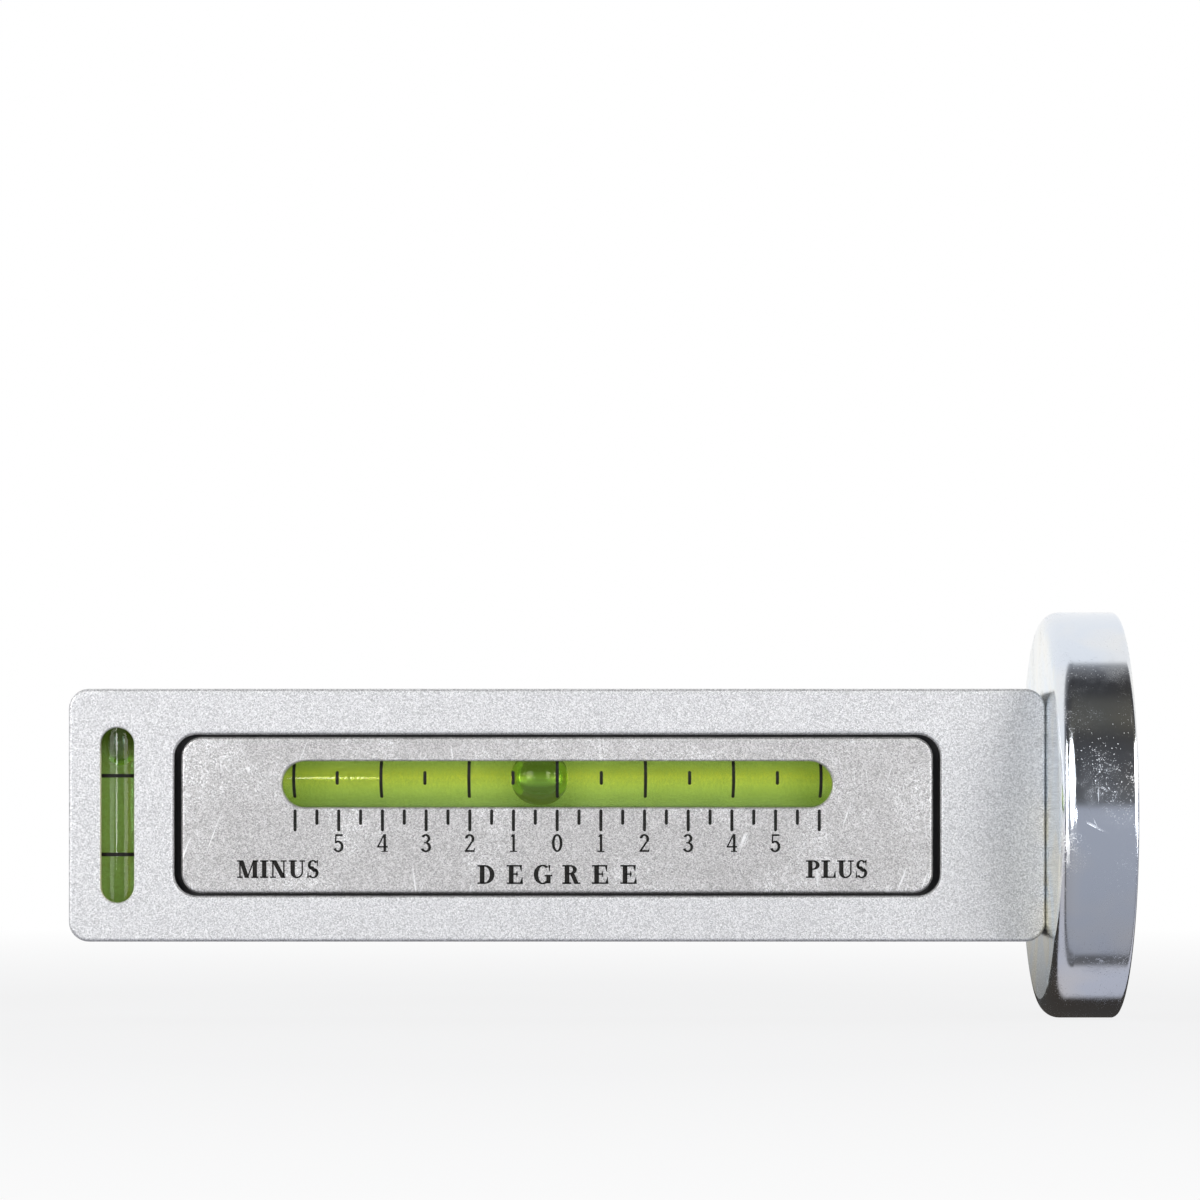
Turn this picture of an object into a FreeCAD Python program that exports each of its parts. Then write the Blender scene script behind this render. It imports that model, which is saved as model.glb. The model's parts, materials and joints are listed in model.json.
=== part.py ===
import FreeCAD, Part
import math
import os

# Magnetic camber and caster gauge, in millimetres.
# The origin is the centre of the magnet's contact face and +X is that face's outward normal.
# The bar runs back along -X. Its camber side faces -Y, its caster side faces +Y, and +Z is up.
# Depths are measured from the camber face towards +Y. What belongs to the caster side is built
# at the camber side and then turned half round about X, which is how the gauge is turned in use.
# The vials set the size of their plates, these set the pockets, and the pockets set the bar.

# Window through which each bent vial is read: the plate laps over the vial by its two lips
WINDOW_LENGTH = 87.3
WINDOW_UPPER_LIP = 2.07
WINDOW_LOWER_LIP = 0.07
WINDOW_EDGE_BEVEL = 0.22

# Bent vials: the bend makes one degree of tilt move the bubble this far
TRAVEL_PER_DEGREE = 6.91
VIAL_DIAMETER = 9.5
VIAL_WALL = 1.75
VIAL_PAST_WINDOW = 3.35
VIAL_COVER = 0.5
VIAL_CLEARANCE = 0.15
VIAL_WEB = 1.07
VIAL_PLUG_LENGTH = 2.0
BUBBLE_LENGTH = 9.2
BUBBLE_SIDE_FILM = 0.2
BUBBLE_FILM = 0.06
LIQUID_GAP = 0.02
CAMBER_READING = -0.41
CASTER_READING = 1.2

# Plates that lie in the pockets of the two wide sides, and the metal left round what they hold
PLATE_THICKNESS = 3.0
PLATE_RECESS = 0.25
PLATE_END_GAP = 1.15
PLATE_SIDE_GAP = 0.4
PLATE_END_WALL = 0.85
PLATE_SIDE_WALL = 0.92
PLATE_EDGE_BEVEL = 0.25
POCKET_CORNER_RADIUS = 3.6
POCKET_EDGE_BEVEL = 0.25

# Bar: the rail above and below the pockets, and the web between the vials' channels and pockets
BAR_RAIL = 7.25
BAR_WEB = 1.12
BAR_CORNER_RADIUS = 3.2
BAR_EDGE_RADIUS = 0.4

# Cross level: a straight vial with a barrel bore, in a hole drilled up from the bar's lower edge
LEVEL_DIAMETER = 7.0
LEVEL_WALL = 1.2
LEVEL_BARREL_RISE = 0.15
LEVEL_COVER = 0.9
LEVEL_CLEARANCE = 0.1
LEVEL_END_DEPTH = 3.0
LEVEL_BAR_END_WALL = 4.05
LEVEL_POCKET_WALL = 5.4
LEVEL_SLOT_LIP = 0.81
LEVEL_SLOT_END_LIP = 3.15
LEVEL_SLOT_BEVEL = 0.2
LEVEL_PLUG_LENGTH = 1.5
LEVEL_BUBBLE_LENGTH = 7.5
LEVEL_BUBBLE_SIDE_FILM = 0.15
LEVEL_PAD_THICKNESS = 0.6
LEVEL_CAP_RECESS = 0.15
LEVEL_CAP_CLEARANCE = 0.02
LEVEL_CAP_BEVEL = 0.2

# Caster carrier: it rocks on two stub pins at its middle and holds its vial in a sleeve
CARRIER_TILT_DEGREES = 2.0
CARRIER_CLEARANCE = 0.3
SLEEVE_WALL = 0.75
SLEEVE_BORE_GAP = 0.03
SLEEVE_END_STEP = 2.0
PIVOT_DIAMETER = 1.6
PIVOT_GRIP = 1.8
PIVOT_END_GAP = 0.15
PIVOT_RUNNING_GAP = 0.03
PIVOT_SINK = 0.5

# Caster adjusting screw, the washer under its head and the spring that lifts the carrier
ADJUST_PAST_VIAL = 4.25
ADJUST_DROP = 4.0
ADJUST_SHANK_DIAMETER = 3.9
ADJUST_THREAD_GAP = 0.05
ADJUST_HOLE_GAP = 0.3
ADJUST_WEB = 1.67
ADJUST_TIP_CLEARANCE = 0.3
ADJUST_TIP_BEVEL = 0.4
ADJUST_HEAD_OVERHANG = 0.6
ADJUST_HEAD_HEIGHT = 3.4
ADJUST_HEAD_BEVEL = 0.4
ADJUST_SLOT_WIDTH = 1.0
ADJUST_SLOT_DEPTH = 1.1
KNURL_COUNT = 36
KNURL_DEPTH = 0.25
WASHER_RIM = 1.65
WASHER_THICKNESS = 0.7
WASHER_BORE_GAP = 0.1
WASHER_SEAT_DEPTH = 0.6
WASHER_SEAT_GAP = 0.25
WASHER_SEAT_MARGIN = 0.5
WASHER_HEAD_GAP = 0.02
SPRING_WIRE = 0.5
SPRING_SHANK_GAP = 0.4
SPRING_TURNS = 4
SPRING_ARCS_PER_TURN = 4
SPRING_WELL_DEPTH = 2.4
SPRING_WELL_MARGIN = 0.4
SPRING_END_GAP = 0.05

# Screws that hold the camber plate from behind
PLATE_SCREW_PAST_VIAL = 5.8
PLATE_SCREW_DROP = 6.5
PLATE_SCREW_DIAMETER = 2.4
PLATE_SCREW_TIP_WALL = 0.7
PLATE_SCREW_HOLE_GAP = 0.1
PLATE_SCREW_END_GAP = 0.2
PLATE_SCREW_HEAD_DIAMETER = 4.4
PLATE_SCREW_HEAD_HEIGHT = 1.8
PLATE_SCREW_HEAD_SINK = 0.4
PLATE_SCREW_SOCKET = 1.5
PLATE_SCREW_SOCKET_DEPTH = 0.9

# Magnet: a deep-drawn steel cup, a ring magnet, a steel core and the potting between them
CUP_DIAMETER = 65.0
CUP_DEPTH = 12.0
CUP_WALL = 3.0
CUP_FLOOR = 3.0
CUP_BACK_RADIUS = 3.0
CUP_RIM_RADIUS = 0.7
OUTER_POTTING_WIDTH = 2.5
INNER_POTTING_WIDTH = 2.5
POTTING_RECESS = 0.6
RING_RECESS = 0.3
RING_EDGE_BEVEL = 0.5
CORE_WALL = 3.5
CORE_EDGE_BEVEL = 0.4
MAGNET_SCREW_DIAMETER = 6.0
MAGNET_SCREW_HEAD_DIAMETER = 12.0
MAGNET_SCREW_GRIP = 12.3
MAGNET_SCREW_SINK = 0.3
MAGNET_SCREW_GAP = 0.05
MAGNET_SCREW_END_GAP = 1.5
MAGNET_SCREW_END_WALL = 2.85
MAGNET_SCREW_SOCKET = 4.0
MAGNET_SCREW_SOCKET_DEPTH = 2.4

# How far every cut runs past the face that it opens, and how near two places count as one
OVERRUN = 1.0
SAME_PLACE = 0.001

# Bent vials, their sleeve and their windows
BEND_RADIUS = TRAVEL_PER_DEGREE * 180 / math.pi
VIAL_LENGTH = WINDOW_LENGTH + 2 * VIAL_PAST_WINDOW
VIAL_CAVITY = VIAL_LENGTH - 2 * VIAL_PLUG_LENGTH
VIAL_DEPTH = VIAL_COVER + VIAL_DIAMETER / 2
VIAL_BORE = VIAL_DIAMETER - 2 * VIAL_WALL
BUBBLE_DIAMETER = VIAL_BORE - 2 * BUBBLE_SIDE_FILM
SLEEVE_BORE = VIAL_DIAMETER + 2 * SLEEVE_BORE_GAP
SLEEVE_DIAMETER = SLEEVE_BORE + 2 * SLEEVE_WALL
SLEEVE_LENGTH = VIAL_LENGTH - 2 * SLEEVE_END_STEP
CAMBER_CHANNEL_WIDTH = VIAL_DIAMETER + 2 * VIAL_CLEARANCE
CASTER_CHANNEL_WIDTH = SLEEVE_DIAMETER + 2 * CARRIER_CLEARANCE
VIAL_RISE = (CAMBER_CHANNEL_WIDTH / 2 + VIAL_WEB + CASTER_CHANNEL_WIDTH / 2) / 2
WINDOW_HEIGHT = VIAL_DIAMETER - WINDOW_UPPER_LIP - WINDOW_LOWER_LIP
WINDOW_RISE = VIAL_RISE - (WINDOW_UPPER_LIP - WINDOW_LOWER_LIP) / 2

# Adjusting screw, washer and spring, out beyond the caster vial's end
WASHER_DIAMETER = ADJUST_SHANK_DIAMETER + 2 * WASHER_RIM
WASHER_SEAT_DIAMETER = WASHER_DIAMETER + 2 * WASHER_SEAT_MARGIN
ADJUST_HEAD_DIAMETER = WASHER_DIAMETER + 2 * ADJUST_HEAD_OVERHANG
SPRING_INNER_DIAMETER = ADJUST_SHANK_DIAMETER + 2 * SPRING_SHANK_GAP
SPRING_WELL_DIAMETER = SPRING_INNER_DIAMETER + 2 * SPRING_WIRE + 2 * SPRING_WELL_MARGIN
ADJUST_DISTANCE = VIAL_LENGTH / 2 + ADJUST_PAST_VIAL + SPRING_WELL_DIAMETER / 2
PLATE_SCREW_DISTANCE = VIAL_LENGTH / 2 + PLATE_SCREW_PAST_VIAL + PLATE_SCREW_HEAD_DIAMETER / 2

# Plates and pockets
PLATE_LENGTH = 2 * (ADJUST_DISTANCE + WASHER_SEAT_DIAMETER / 2 + PLATE_END_WALL)
PLATE_HEIGHT = 2 * (VIAL_RISE + SLEEVE_DIAMETER / 2 + PLATE_SIDE_WALL)
PLATE_CORNER_RADIUS = POCKET_CORNER_RADIUS - PLATE_SIDE_GAP
PLATE_BACK_DEPTH = PLATE_RECESS + PLATE_THICKNESS
POCKET_LENGTH = PLATE_LENGTH + 2 * PLATE_END_GAP
POCKET_HEIGHT = PLATE_HEIGHT + 2 * PLATE_SIDE_GAP
PLATE_SCREW_GRIP = PLATE_THICKNESS - PLATE_SCREW_TIP_WALL - PLATE_SCREW_END_GAP


def bend_sag(length):
    """How much deeper the ends of a bent length lie than its middle."""
    return BEND_RADIUS - math.sqrt(BEND_RADIUS ** 2 - (length / 2) ** 2)


# Room for the carrier to rock: its sleeve's channel ends past the vial and gets deeper with the tilt
TILT_SINE = math.sin(math.radians(CARRIER_TILT_DEGREES))
PIVOT_DEPTH = PLATE_RECESS + PLATE_THICKNESS / 2
SLEEVE_ARM = VIAL_DEPTH + bend_sag(VIAL_LENGTH) + SLEEVE_DIAMETER / 2 - PIVOT_DEPTH
CASTER_CHANNEL_LENGTH = VIAL_LENGTH + 2 * (CARRIER_CLEARANCE + SLEEVE_ARM * TILT_SINE)
CASTER_CHANNEL_DROP = bend_sag(CASTER_CHANNEL_LENGTH) + CASTER_CHANNEL_LENGTH / 2 * TILT_SINE
CASTER_CHANNEL_DEPTH = VIAL_DEPTH + CASTER_CHANNEL_WIDTH / 2 + CASTER_CHANNEL_DROP
CASTER_FLOOR_DEPTH = PLATE_BACK_DEPTH + PLATE_LENGTH / 2 * TILT_SINE + CARRIER_CLEARANCE

# Bar
LEVEL_HOLE = LEVEL_DIAMETER + 2 * LEVEL_CLEARANCE
LEVEL_MARGIN = LEVEL_BAR_END_WALL + LEVEL_HOLE + LEVEL_POCKET_WALL
MAGNET_MARGIN = MAGNET_SCREW_GRIP + MAGNET_SCREW_END_GAP + MAGNET_SCREW_END_WALL
BAR_THICKNESS = CASTER_CHANNEL_DEPTH + BAR_WEB + PLATE_BACK_DEPTH
BAR_HEIGHT = POCKET_HEIGHT + 2 * BAR_RAIL
BAR_RIGHT = -CUP_DEPTH
PLATE_MIDDLE = BAR_RIGHT - MAGNET_MARGIN - POCKET_LENGTH / 2
BAR_LEFT = PLATE_MIDDLE - POCKET_LENGTH / 2 - LEVEL_MARGIN
CAMBER_FACE = -BAR_THICKNESS / 2
HALF_HEIGHT = BAR_HEIGHT / 2
CASTER_FLOOR_FROM_CAMBER = BAR_THICKNESS - CASTER_FLOOR_DEPTH

# Cross level
LEVEL_X = BAR_LEFT + LEVEL_BAR_END_WALL + LEVEL_HOLE / 2
LEVEL_Y = CAMBER_FACE + LEVEL_COVER + LEVEL_DIAMETER / 2
LEVEL_LENGTH = BAR_HEIGHT - 2 * LEVEL_END_DEPTH
LEVEL_CAVITY = LEVEL_LENGTH - 2 * LEVEL_PLUG_LENGTH
LEVEL_BORE_MIDDLE = LEVEL_DIAMETER - 2 * LEVEL_WALL
LEVEL_BORE_END = LEVEL_BORE_MIDDLE - 2 * LEVEL_BARREL_RISE
LEVEL_BUBBLE_DIAMETER = LEVEL_BORE_END - 2 * LEVEL_BUBBLE_SIDE_FILM
LEVEL_SLOT_WIDTH = LEVEL_DIAMETER - 2 * LEVEL_SLOT_LIP
LEVEL_SLOT_LENGTH = LEVEL_LENGTH - 2 * LEVEL_SLOT_END_LIP

# Depths along the adjusting screw: its hole stops short of the camber pocket at full travel
ADJUST_X = PLATE_MIDDLE - ADJUST_DISTANCE
ADJUST_TRAVEL = ADJUST_DISTANCE * TILT_SINE
SEAT_DEPTH = PLATE_RECESS + WASHER_SEAT_DEPTH
WASHER_OUTER_DEPTH = SEAT_DEPTH - WASHER_SEAT_GAP - WASHER_THICKNESS
HEAD_DEPTH = WASHER_OUTER_DEPTH - WASHER_HEAD_GAP
ADJUST_HOLE_DEPTH = BAR_THICKNESS - PLATE_BACK_DEPTH - ADJUST_WEB
ADJUST_LENGTH = ADJUST_HOLE_DEPTH - ADJUST_TIP_CLEARANCE - ADJUST_TRAVEL - HEAD_DEPTH
SPRING_SEAT_DEPTH = CASTER_FLOOR_DEPTH + SPRING_WELL_DEPTH

# Magnet, from its screw outwards and from its cup inwards
CORE_DIAMETER = MAGNET_SCREW_HEAD_DIAMETER + 2 * CORE_WALL
RING_INNER_DIAMETER = CORE_DIAMETER + 2 * INNER_POTTING_WIDTH
CUP_BORE = CUP_DIAMETER - 2 * CUP_WALL
RING_OUTER_DIAMETER = CUP_BORE - 2 * OUTER_POTTING_WIDTH
MAGNET_SCREW_LENGTH = CUP_DEPTH - MAGNET_SCREW_SINK + MAGNET_SCREW_GRIP

X_AXIS = FreeCAD.Vector(1, 0, 0)
Y_AXIS = FreeCAD.Vector(0, 1, 0)
Z_AXIS = FreeCAD.Vector(0, 0, 1)
ORIGIN = FreeCAD.Vector(0, 0, 0)


def place(x, depth, z):
    """A point given by its depth under the camber face."""
    return FreeCAD.Vector(x, CAMBER_FACE + depth, z)


def rod(diameter, start, axis, length):
    return Part.makeCylinder(diameter / 2, length, start, axis)


def fused(*shapes):
    return shapes[0].multiFuse(list(shapes[1:])).removeSplitter()


def turned_over(shape):
    """A copy turned half round about X, from the camber side to the caster side."""
    copy = shape.copy()
    copy.rotate(ORIGIN, X_AXIS, 180)
    return copy


def edges_at_depth(shape, depth, x_from, x_to):
    """Edges that lie in the plane at one depth, between two places along the bar."""
    found = []
    for edge in shape.Edges:
        box = edge.BoundBox
        flat = abs(box.YMin - CAMBER_FACE - depth) + abs(box.YMax - CAMBER_FACE - depth) < SAME_PLACE
        if flat and box.XMin > x_from and box.XMax < x_to:
            found.append(edge)
    return found


def edges_at_x(shape, x):
    """Edges that lie in one plane square to X."""
    return [e for e in shape.Edges if abs(e.BoundBox.XMin - x) + abs(e.BoundBox.XMax - x) < SAME_PLACE]


def rounded_slab(x_from, x_to, height, corner_radius, depth_from, depth_to):
    """A slab whose four corners are rounded, as seen from the camber side."""
    corner = place(x_from, depth_from, -height / 2)
    slab = Part.makeBox(x_to - x_from, depth_to - depth_from, height, corner)
    corners = [e for e in slab.Edges if e.BoundBox.YLength > depth_to - depth_from - SAME_PLACE]
    return slab.makeFillet(corner_radius, corners)


def plate_slab(depth_from, depth_to):
    reach = PLATE_LENGTH / 2
    return rounded_slab(
        PLATE_MIDDLE - reach, PLATE_MIDDLE + reach, PLATE_HEIGHT, PLATE_CORNER_RADIUS, depth_from, depth_to
    )


def pocket_cut(depth):
    reach = POCKET_LENGTH / 2
    return rounded_slab(
        PLATE_MIDDLE - reach, PLATE_MIDDLE + reach, POCKET_HEIGHT, POCKET_CORNER_RADIUS, -OVERRUN, depth
    )


def round_ended_slot(x, z, long_axis, length, width, depth_from, depth_to):
    """A slot with half-round ends, through a range of depths."""
    reach = (length - width) / 2
    depth = depth_to - depth_from
    middle = place(x, depth_from, z)
    across = X_AXIS if long_axis == Z_AXIS else Z_AXIS
    size = long_axis * (2 * reach) + across * width
    block = Part.makeBox(size.x, depth, size.z, middle - size / 2)
    ends = [rod(width, middle + long_axis * (reach * side), Y_AXIS, depth) for side in (-1, 1)]
    return fused(block, *ends)


# Bent sections: each is drawn at the plates' middle and swept along the vials' bend
VIAL_MIDDLE = place(PLATE_MIDDLE, VIAL_DEPTH, VIAL_RISE)
BEND_CENTRE = place(PLATE_MIDDLE, VIAL_DEPTH + BEND_RADIUS, VIAL_RISE)


def along_bend(section, length):
    half_angle = math.degrees(length / 2 / BEND_RADIUS)
    start = section.copy()
    start.rotate(BEND_CENTRE, Z_AXIS, -half_angle)
    return start.revolve(BEND_CENTRE, Z_AXIS, 2 * half_angle)


def bent_rod(diameter, length):
    circle = Part.makeCircle(diameter / 2, VIAL_MIDDLE, X_AXIS)
    return along_bend(Part.Face(Part.Wire(circle)), length)


def bent_channel(width, length):
    """A round-bottomed channel along the bend, open towards the camber side."""
    radius = width / 2
    mouth = place(PLATE_MIDDLE, -OVERRUN, VIAL_RISE)
    up = Z_AXIS * radius
    floor = Part.Arc(VIAL_MIDDLE + up, VIAL_MIDDLE + Y_AXIS * radius, VIAL_MIDDLE - up).toShape()
    corners = [VIAL_MIDDLE - up, mouth - up, mouth + up, VIAL_MIDDLE + up]
    walls = [Part.LineSegment(a, b).toShape() for a, b in zip(corners, corners[1:])]
    return along_bend(Part.Face(Part.Wire([floor] + walls)), length)


def capsule(diameter, length, centre, axis):
    """A round-ended rod, which is the shape of a bubble in its vial."""
    reach = (length - diameter) / 2
    middle = rod(diameter, centre - axis * reach, axis, 2 * reach)
    ends = [Part.makeSphere(diameter / 2, centre + axis * (reach * side)) for side in (-1, 1)]
    return fused(middle, *ends)


def socket_screw_cut(size, start, axis, depth):
    """A hexagonal socket, measured across its flats."""
    across = Z_AXIS * (size / math.sqrt(3))
    along = axis.cross(across)
    turns = [math.pi / 3 * step for step in range(7)]
    corners = [start + across * math.cos(turn) + along * math.sin(turn) for turn in turns]
    return Part.Face(Part.makePolygon(corners)).extrude(axis * depth)


# Bent vials: both sides have the same one, so each piece is made once and turned over
def bent_vial(reading):
    tube = bent_rod(VIAL_DIAMETER, VIAL_LENGTH).cut(bent_rod(VIAL_BORE, VIAL_LENGTH + 2 * OVERRUN))
    core = bent_rod(VIAL_BORE, VIAL_LENGTH)
    plugs = core.cut(bent_rod(VIAL_DIAMETER, VIAL_CAVITY))
    liquid = bent_rod(VIAL_BORE - 2 * LIQUID_GAP, VIAL_CAVITY - 2 * LIQUID_GAP)
    bubble = capsule(BUBBLE_DIAMETER, BUBBLE_LENGTH, VIAL_MIDDLE, X_AXIS)
    film = 2 * BUBBLE_FILM
    hollow = capsule(BUBBLE_DIAMETER + film, BUBBLE_LENGTH + film, VIAL_MIDDLE, X_AXIS)
    for shape in (bubble, hollow):
        shape.rotate(BEND_CENTRE, Z_AXIS, reading)
    return {"tube": tube, "plugs": plugs, "liquid": liquid.cut(hollow), "bubble": bubble}


def window_cut(depth):
    return round_ended_slot(PLATE_MIDDLE, WINDOW_RISE, X_AXIS, WINDOW_LENGTH, WINDOW_HEIGHT, -OVERRUN, depth)


def window_plate():
    """The plate that lies in either pocket, with its window and nothing else."""
    plate = plate_slab(PLATE_RECESS, PLATE_BACK_DEPTH)
    rim = edges_at_depth(plate, PLATE_RECESS, BAR_LEFT, BAR_RIGHT)
    plate = plate.makeChamfer(PLATE_EDGE_BEVEL, rim)
    plate = plate.cut(window_cut(PLATE_BACK_DEPTH + OVERRUN))
    reach = WINDOW_LENGTH / 2 + SAME_PLACE
    rim = edges_at_depth(plate, PLATE_RECESS, PLATE_MIDDLE - reach, PLATE_MIDDLE + reach)
    return plate.makeChamfer(WINDOW_EDGE_BEVEL, rim)


# Camber side
def camber_scale_plate():
    plate = window_plate().cut(bent_rod(CAMBER_CHANNEL_WIDTH, VIAL_LENGTH + 2 * VIAL_CLEARANCE))
    reach = PLATE_SCREW_GRIP + PLATE_SCREW_END_GAP
    for side in (-1, 1):
        start = place(PLATE_MIDDLE + side * PLATE_SCREW_DISTANCE, PLATE_BACK_DEPTH - reach, -PLATE_SCREW_DROP)
        plate = plate.cut(rod(PLATE_SCREW_DIAMETER, start, Y_AXIS, reach + OVERRUN))
    return plate


PLATE_SCREW_HEAD_TOP = CASTER_FLOOR_FROM_CAMBER - PLATE_SCREW_HEAD_SINK
PLATE_SCREW_HEAD_SEAT = PLATE_SCREW_HEAD_TOP - PLATE_SCREW_HEAD_HEIGHT


def camber_plate_screws():
    screws = []
    for side in (-1, 1):
        x = PLATE_MIDDLE + side * PLATE_SCREW_DISTANCE
        tip = place(x, PLATE_BACK_DEPTH - PLATE_SCREW_GRIP, -PLATE_SCREW_DROP)
        seat = place(x, PLATE_SCREW_HEAD_SEAT, -PLATE_SCREW_DROP)
        top = place(x, PLATE_SCREW_HEAD_TOP, -PLATE_SCREW_DROP)
        shank = rod(PLATE_SCREW_DIAMETER, tip, Y_AXIS, (top - tip).Length)
        head = rod(PLATE_SCREW_HEAD_DIAMETER, seat, Y_AXIS, PLATE_SCREW_HEAD_HEIGHT)
        socket = socket_screw_cut(PLATE_SCREW_SOCKET, top, Y_AXIS * -1, PLATE_SCREW_SOCKET_DEPTH)
        screws.append(fused(shank, head).cut(socket))
    return Part.makeCompound(screws)


# Cross level
def barrel(length, diameter_middle, diameter_end):
    """A rod along Z that swells to its middle, about the cross level's centre."""
    half = length / 2
    end = diameter_end / 2
    middle = diameter_middle / 2
    centre = FreeCAD.Vector(LEVEL_X, LEVEL_Y, 0)
    low = centre - Z_AXIS * half
    high = centre + Z_AXIS * half
    side = Part.Arc(low + X_AXIS * end, centre + X_AXIS * middle, high + X_AXIS * end).toShape()
    lines = [
        Part.LineSegment(high + X_AXIS * end, high).toShape(),
        Part.LineSegment(high, low).toShape(),
        Part.LineSegment(low, low + X_AXIS * end).toShape(),
    ]
    return Part.Face(Part.Wire([side] + lines)).revolve(centre, Z_AXIS, 360)


def level_rod(diameter, z_from, z_to):
    return rod(diameter, FreeCAD.Vector(LEVEL_X, LEVEL_Y, z_from), Z_AXIS, z_to - z_from)


def level_vial():
    half = LEVEL_LENGTH / 2
    bore_ends = level_rod(LEVEL_BORE_END, -half - OVERRUN, half + OVERRUN)
    barrel_bore = barrel(LEVEL_CAVITY, LEVEL_BORE_MIDDLE, LEVEL_BORE_END)
    tube = level_rod(LEVEL_DIAMETER, -half, half).cut(bore_ends).cut(barrel_bore)
    plugs = level_rod(LEVEL_BORE_END, -half, half)
    plugs = plugs.cut(level_rod(LEVEL_DIAMETER, -LEVEL_CAVITY / 2, LEVEL_CAVITY / 2))
    liquid = barrel(
        LEVEL_CAVITY - 2 * LIQUID_GAP, LEVEL_BORE_MIDDLE - 2 * LIQUID_GAP, LEVEL_BORE_END - 2 * LIQUID_GAP
    )
    rise = LEVEL_CAVITY / 2 - 2 * BUBBLE_FILM - LEVEL_BUBBLE_LENGTH / 2
    centre = FreeCAD.Vector(LEVEL_X, LEVEL_Y, rise)
    bubble = capsule(LEVEL_BUBBLE_DIAMETER, LEVEL_BUBBLE_LENGTH, centre, Z_AXIS)
    film = 2 * BUBBLE_FILM
    hollow = capsule(LEVEL_BUBBLE_DIAMETER + film, LEVEL_BUBBLE_LENGTH + film, centre, Z_AXIS)
    return {"tube": tube, "plugs": plugs, "liquid": liquid.cut(hollow), "bubble": bubble}


def level_bore_pad():
    return level_rod(LEVEL_DIAMETER, LEVEL_LENGTH / 2, LEVEL_LENGTH / 2 + LEVEL_PAD_THICKNESS)


def level_bore_cap():
    cap = level_rod(LEVEL_HOLE - 2 * LEVEL_CAP_CLEARANCE, -HALF_HEIGHT + LEVEL_CAP_RECESS, -LEVEL_LENGTH / 2)
    rim = [e for e in cap.Edges if e.BoundBox.ZMax < LEVEL_CAP_RECESS - HALF_HEIGHT + SAME_PLACE]
    return cap.makeChamfer(LEVEL_CAP_BEVEL, rim)


# Caster side, drawn at the camber side and turned over at the end
PIVOT_TIP = PLATE_HEIGHT / 2 - PIVOT_GRIP


def at_pivots(diameter, inner, outer):
    """Two rods on the pivot axis, above and below the bar's centre line, between two heights."""
    centre = place(PLATE_MIDDLE, PIVOT_DEPTH, 0)
    return [rod(diameter, centre + up * inner, up, outer - inner) for up in (Z_AXIS, Z_AXIS * -1)]


def caster_carrier():
    blank = window_plate()
    sleeve = bent_rod(SLEEVE_DIAMETER, SLEEVE_LENGTH)
    # The sleeve stops under the plate's outer face, and its crest is trimmed level with that face
    crest = plate_slab(-PLATE_THICKNESS, PLATE_RECESS)
    carrier = fused(blank, sleeve.cut(crest).cut(window_cut(VIAL_DEPTH)))
    carrier = carrier.cut(bent_rod(SLEEVE_BORE, VIAL_LENGTH + 2 * VIAL_CLEARANCE))
    for hole in at_pivots(PIVOT_DIAMETER + 2 * PIVOT_RUNNING_GAP, PIVOT_TIP - PIVOT_END_GAP, HALF_HEIGHT):
        carrier = carrier.cut(hole)
    top = place(ADJUST_X, 0, -ADJUST_DROP)
    shank_hole = rod(ADJUST_SHANK_DIAMETER + 2 * ADJUST_HOLE_GAP, top, Y_AXIS, PLATE_BACK_DEPTH + OVERRUN)
    seat = rod(WASHER_SEAT_DIAMETER, top, Y_AXIS, SEAT_DEPTH)
    return turned_over(carrier.cut(shank_hole).cut(seat))


def caster_pivot_pins():
    return turned_over(Part.makeCompound(at_pivots(PIVOT_DIAMETER, PIVOT_TIP, HALF_HEIGHT - PIVOT_SINK)))


def caster_adjust_screw():
    head_top = HEAD_DEPTH - ADJUST_HEAD_HEIGHT
    outer = place(ADJUST_X, head_top, -ADJUST_DROP)
    inner = place(ADJUST_X, HEAD_DEPTH, -ADJUST_DROP)
    points = []
    for step in range(2 * KNURL_COUNT + 1):
        turn = math.pi / KNURL_COUNT * step
        radius = ADJUST_HEAD_DIAMETER / 2 - KNURL_DEPTH * (step % 2)
        points.append(outer + X_AXIS * (radius * math.cos(turn)) + Z_AXIS * (radius * math.sin(turn)))
    knurled = Part.Face(Part.makePolygon(points)).extrude(Y_AXIS * ADJUST_HEAD_HEIGHT)
    bevelled = rod(ADJUST_HEAD_DIAMETER, outer, Y_AXIS, ADJUST_HEAD_HEIGHT)
    rims = [e for e in bevelled.Edges if e.BoundBox.YLength < SAME_PLACE]
    head = knurled.common(bevelled.makeChamfer(ADJUST_HEAD_BEVEL, rims))
    slot_corner = outer - X_AXIS * ADJUST_HEAD_DIAMETER - Z_AXIS * (ADJUST_SLOT_WIDTH / 2) - Y_AXIS * OVERRUN
    slot = Part.makeBox(
        2 * ADJUST_HEAD_DIAMETER, ADJUST_SLOT_DEPTH + OVERRUN, ADJUST_SLOT_WIDTH, slot_corner
    )
    shank = rod(ADJUST_SHANK_DIAMETER, inner, Y_AXIS, ADJUST_LENGTH)
    tip = [e for e in shank.Edges if e.BoundBox.YMin > inner.y + ADJUST_LENGTH - SAME_PLACE]
    shank = shank.makeChamfer(ADJUST_TIP_BEVEL, tip)
    return turned_over(fused(head.cut(slot), shank))


def caster_adjust_washer():
    start = place(ADJUST_X, WASHER_OUTER_DEPTH, -ADJUST_DROP)
    hole = rod(ADJUST_SHANK_DIAMETER + 2 * WASHER_BORE_GAP, start, Y_AXIS, WASHER_THICKNESS)
    return turned_over(rod(WASHER_DIAMETER, start, Y_AXIS, WASHER_THICKNESS).cut(hole))


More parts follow.
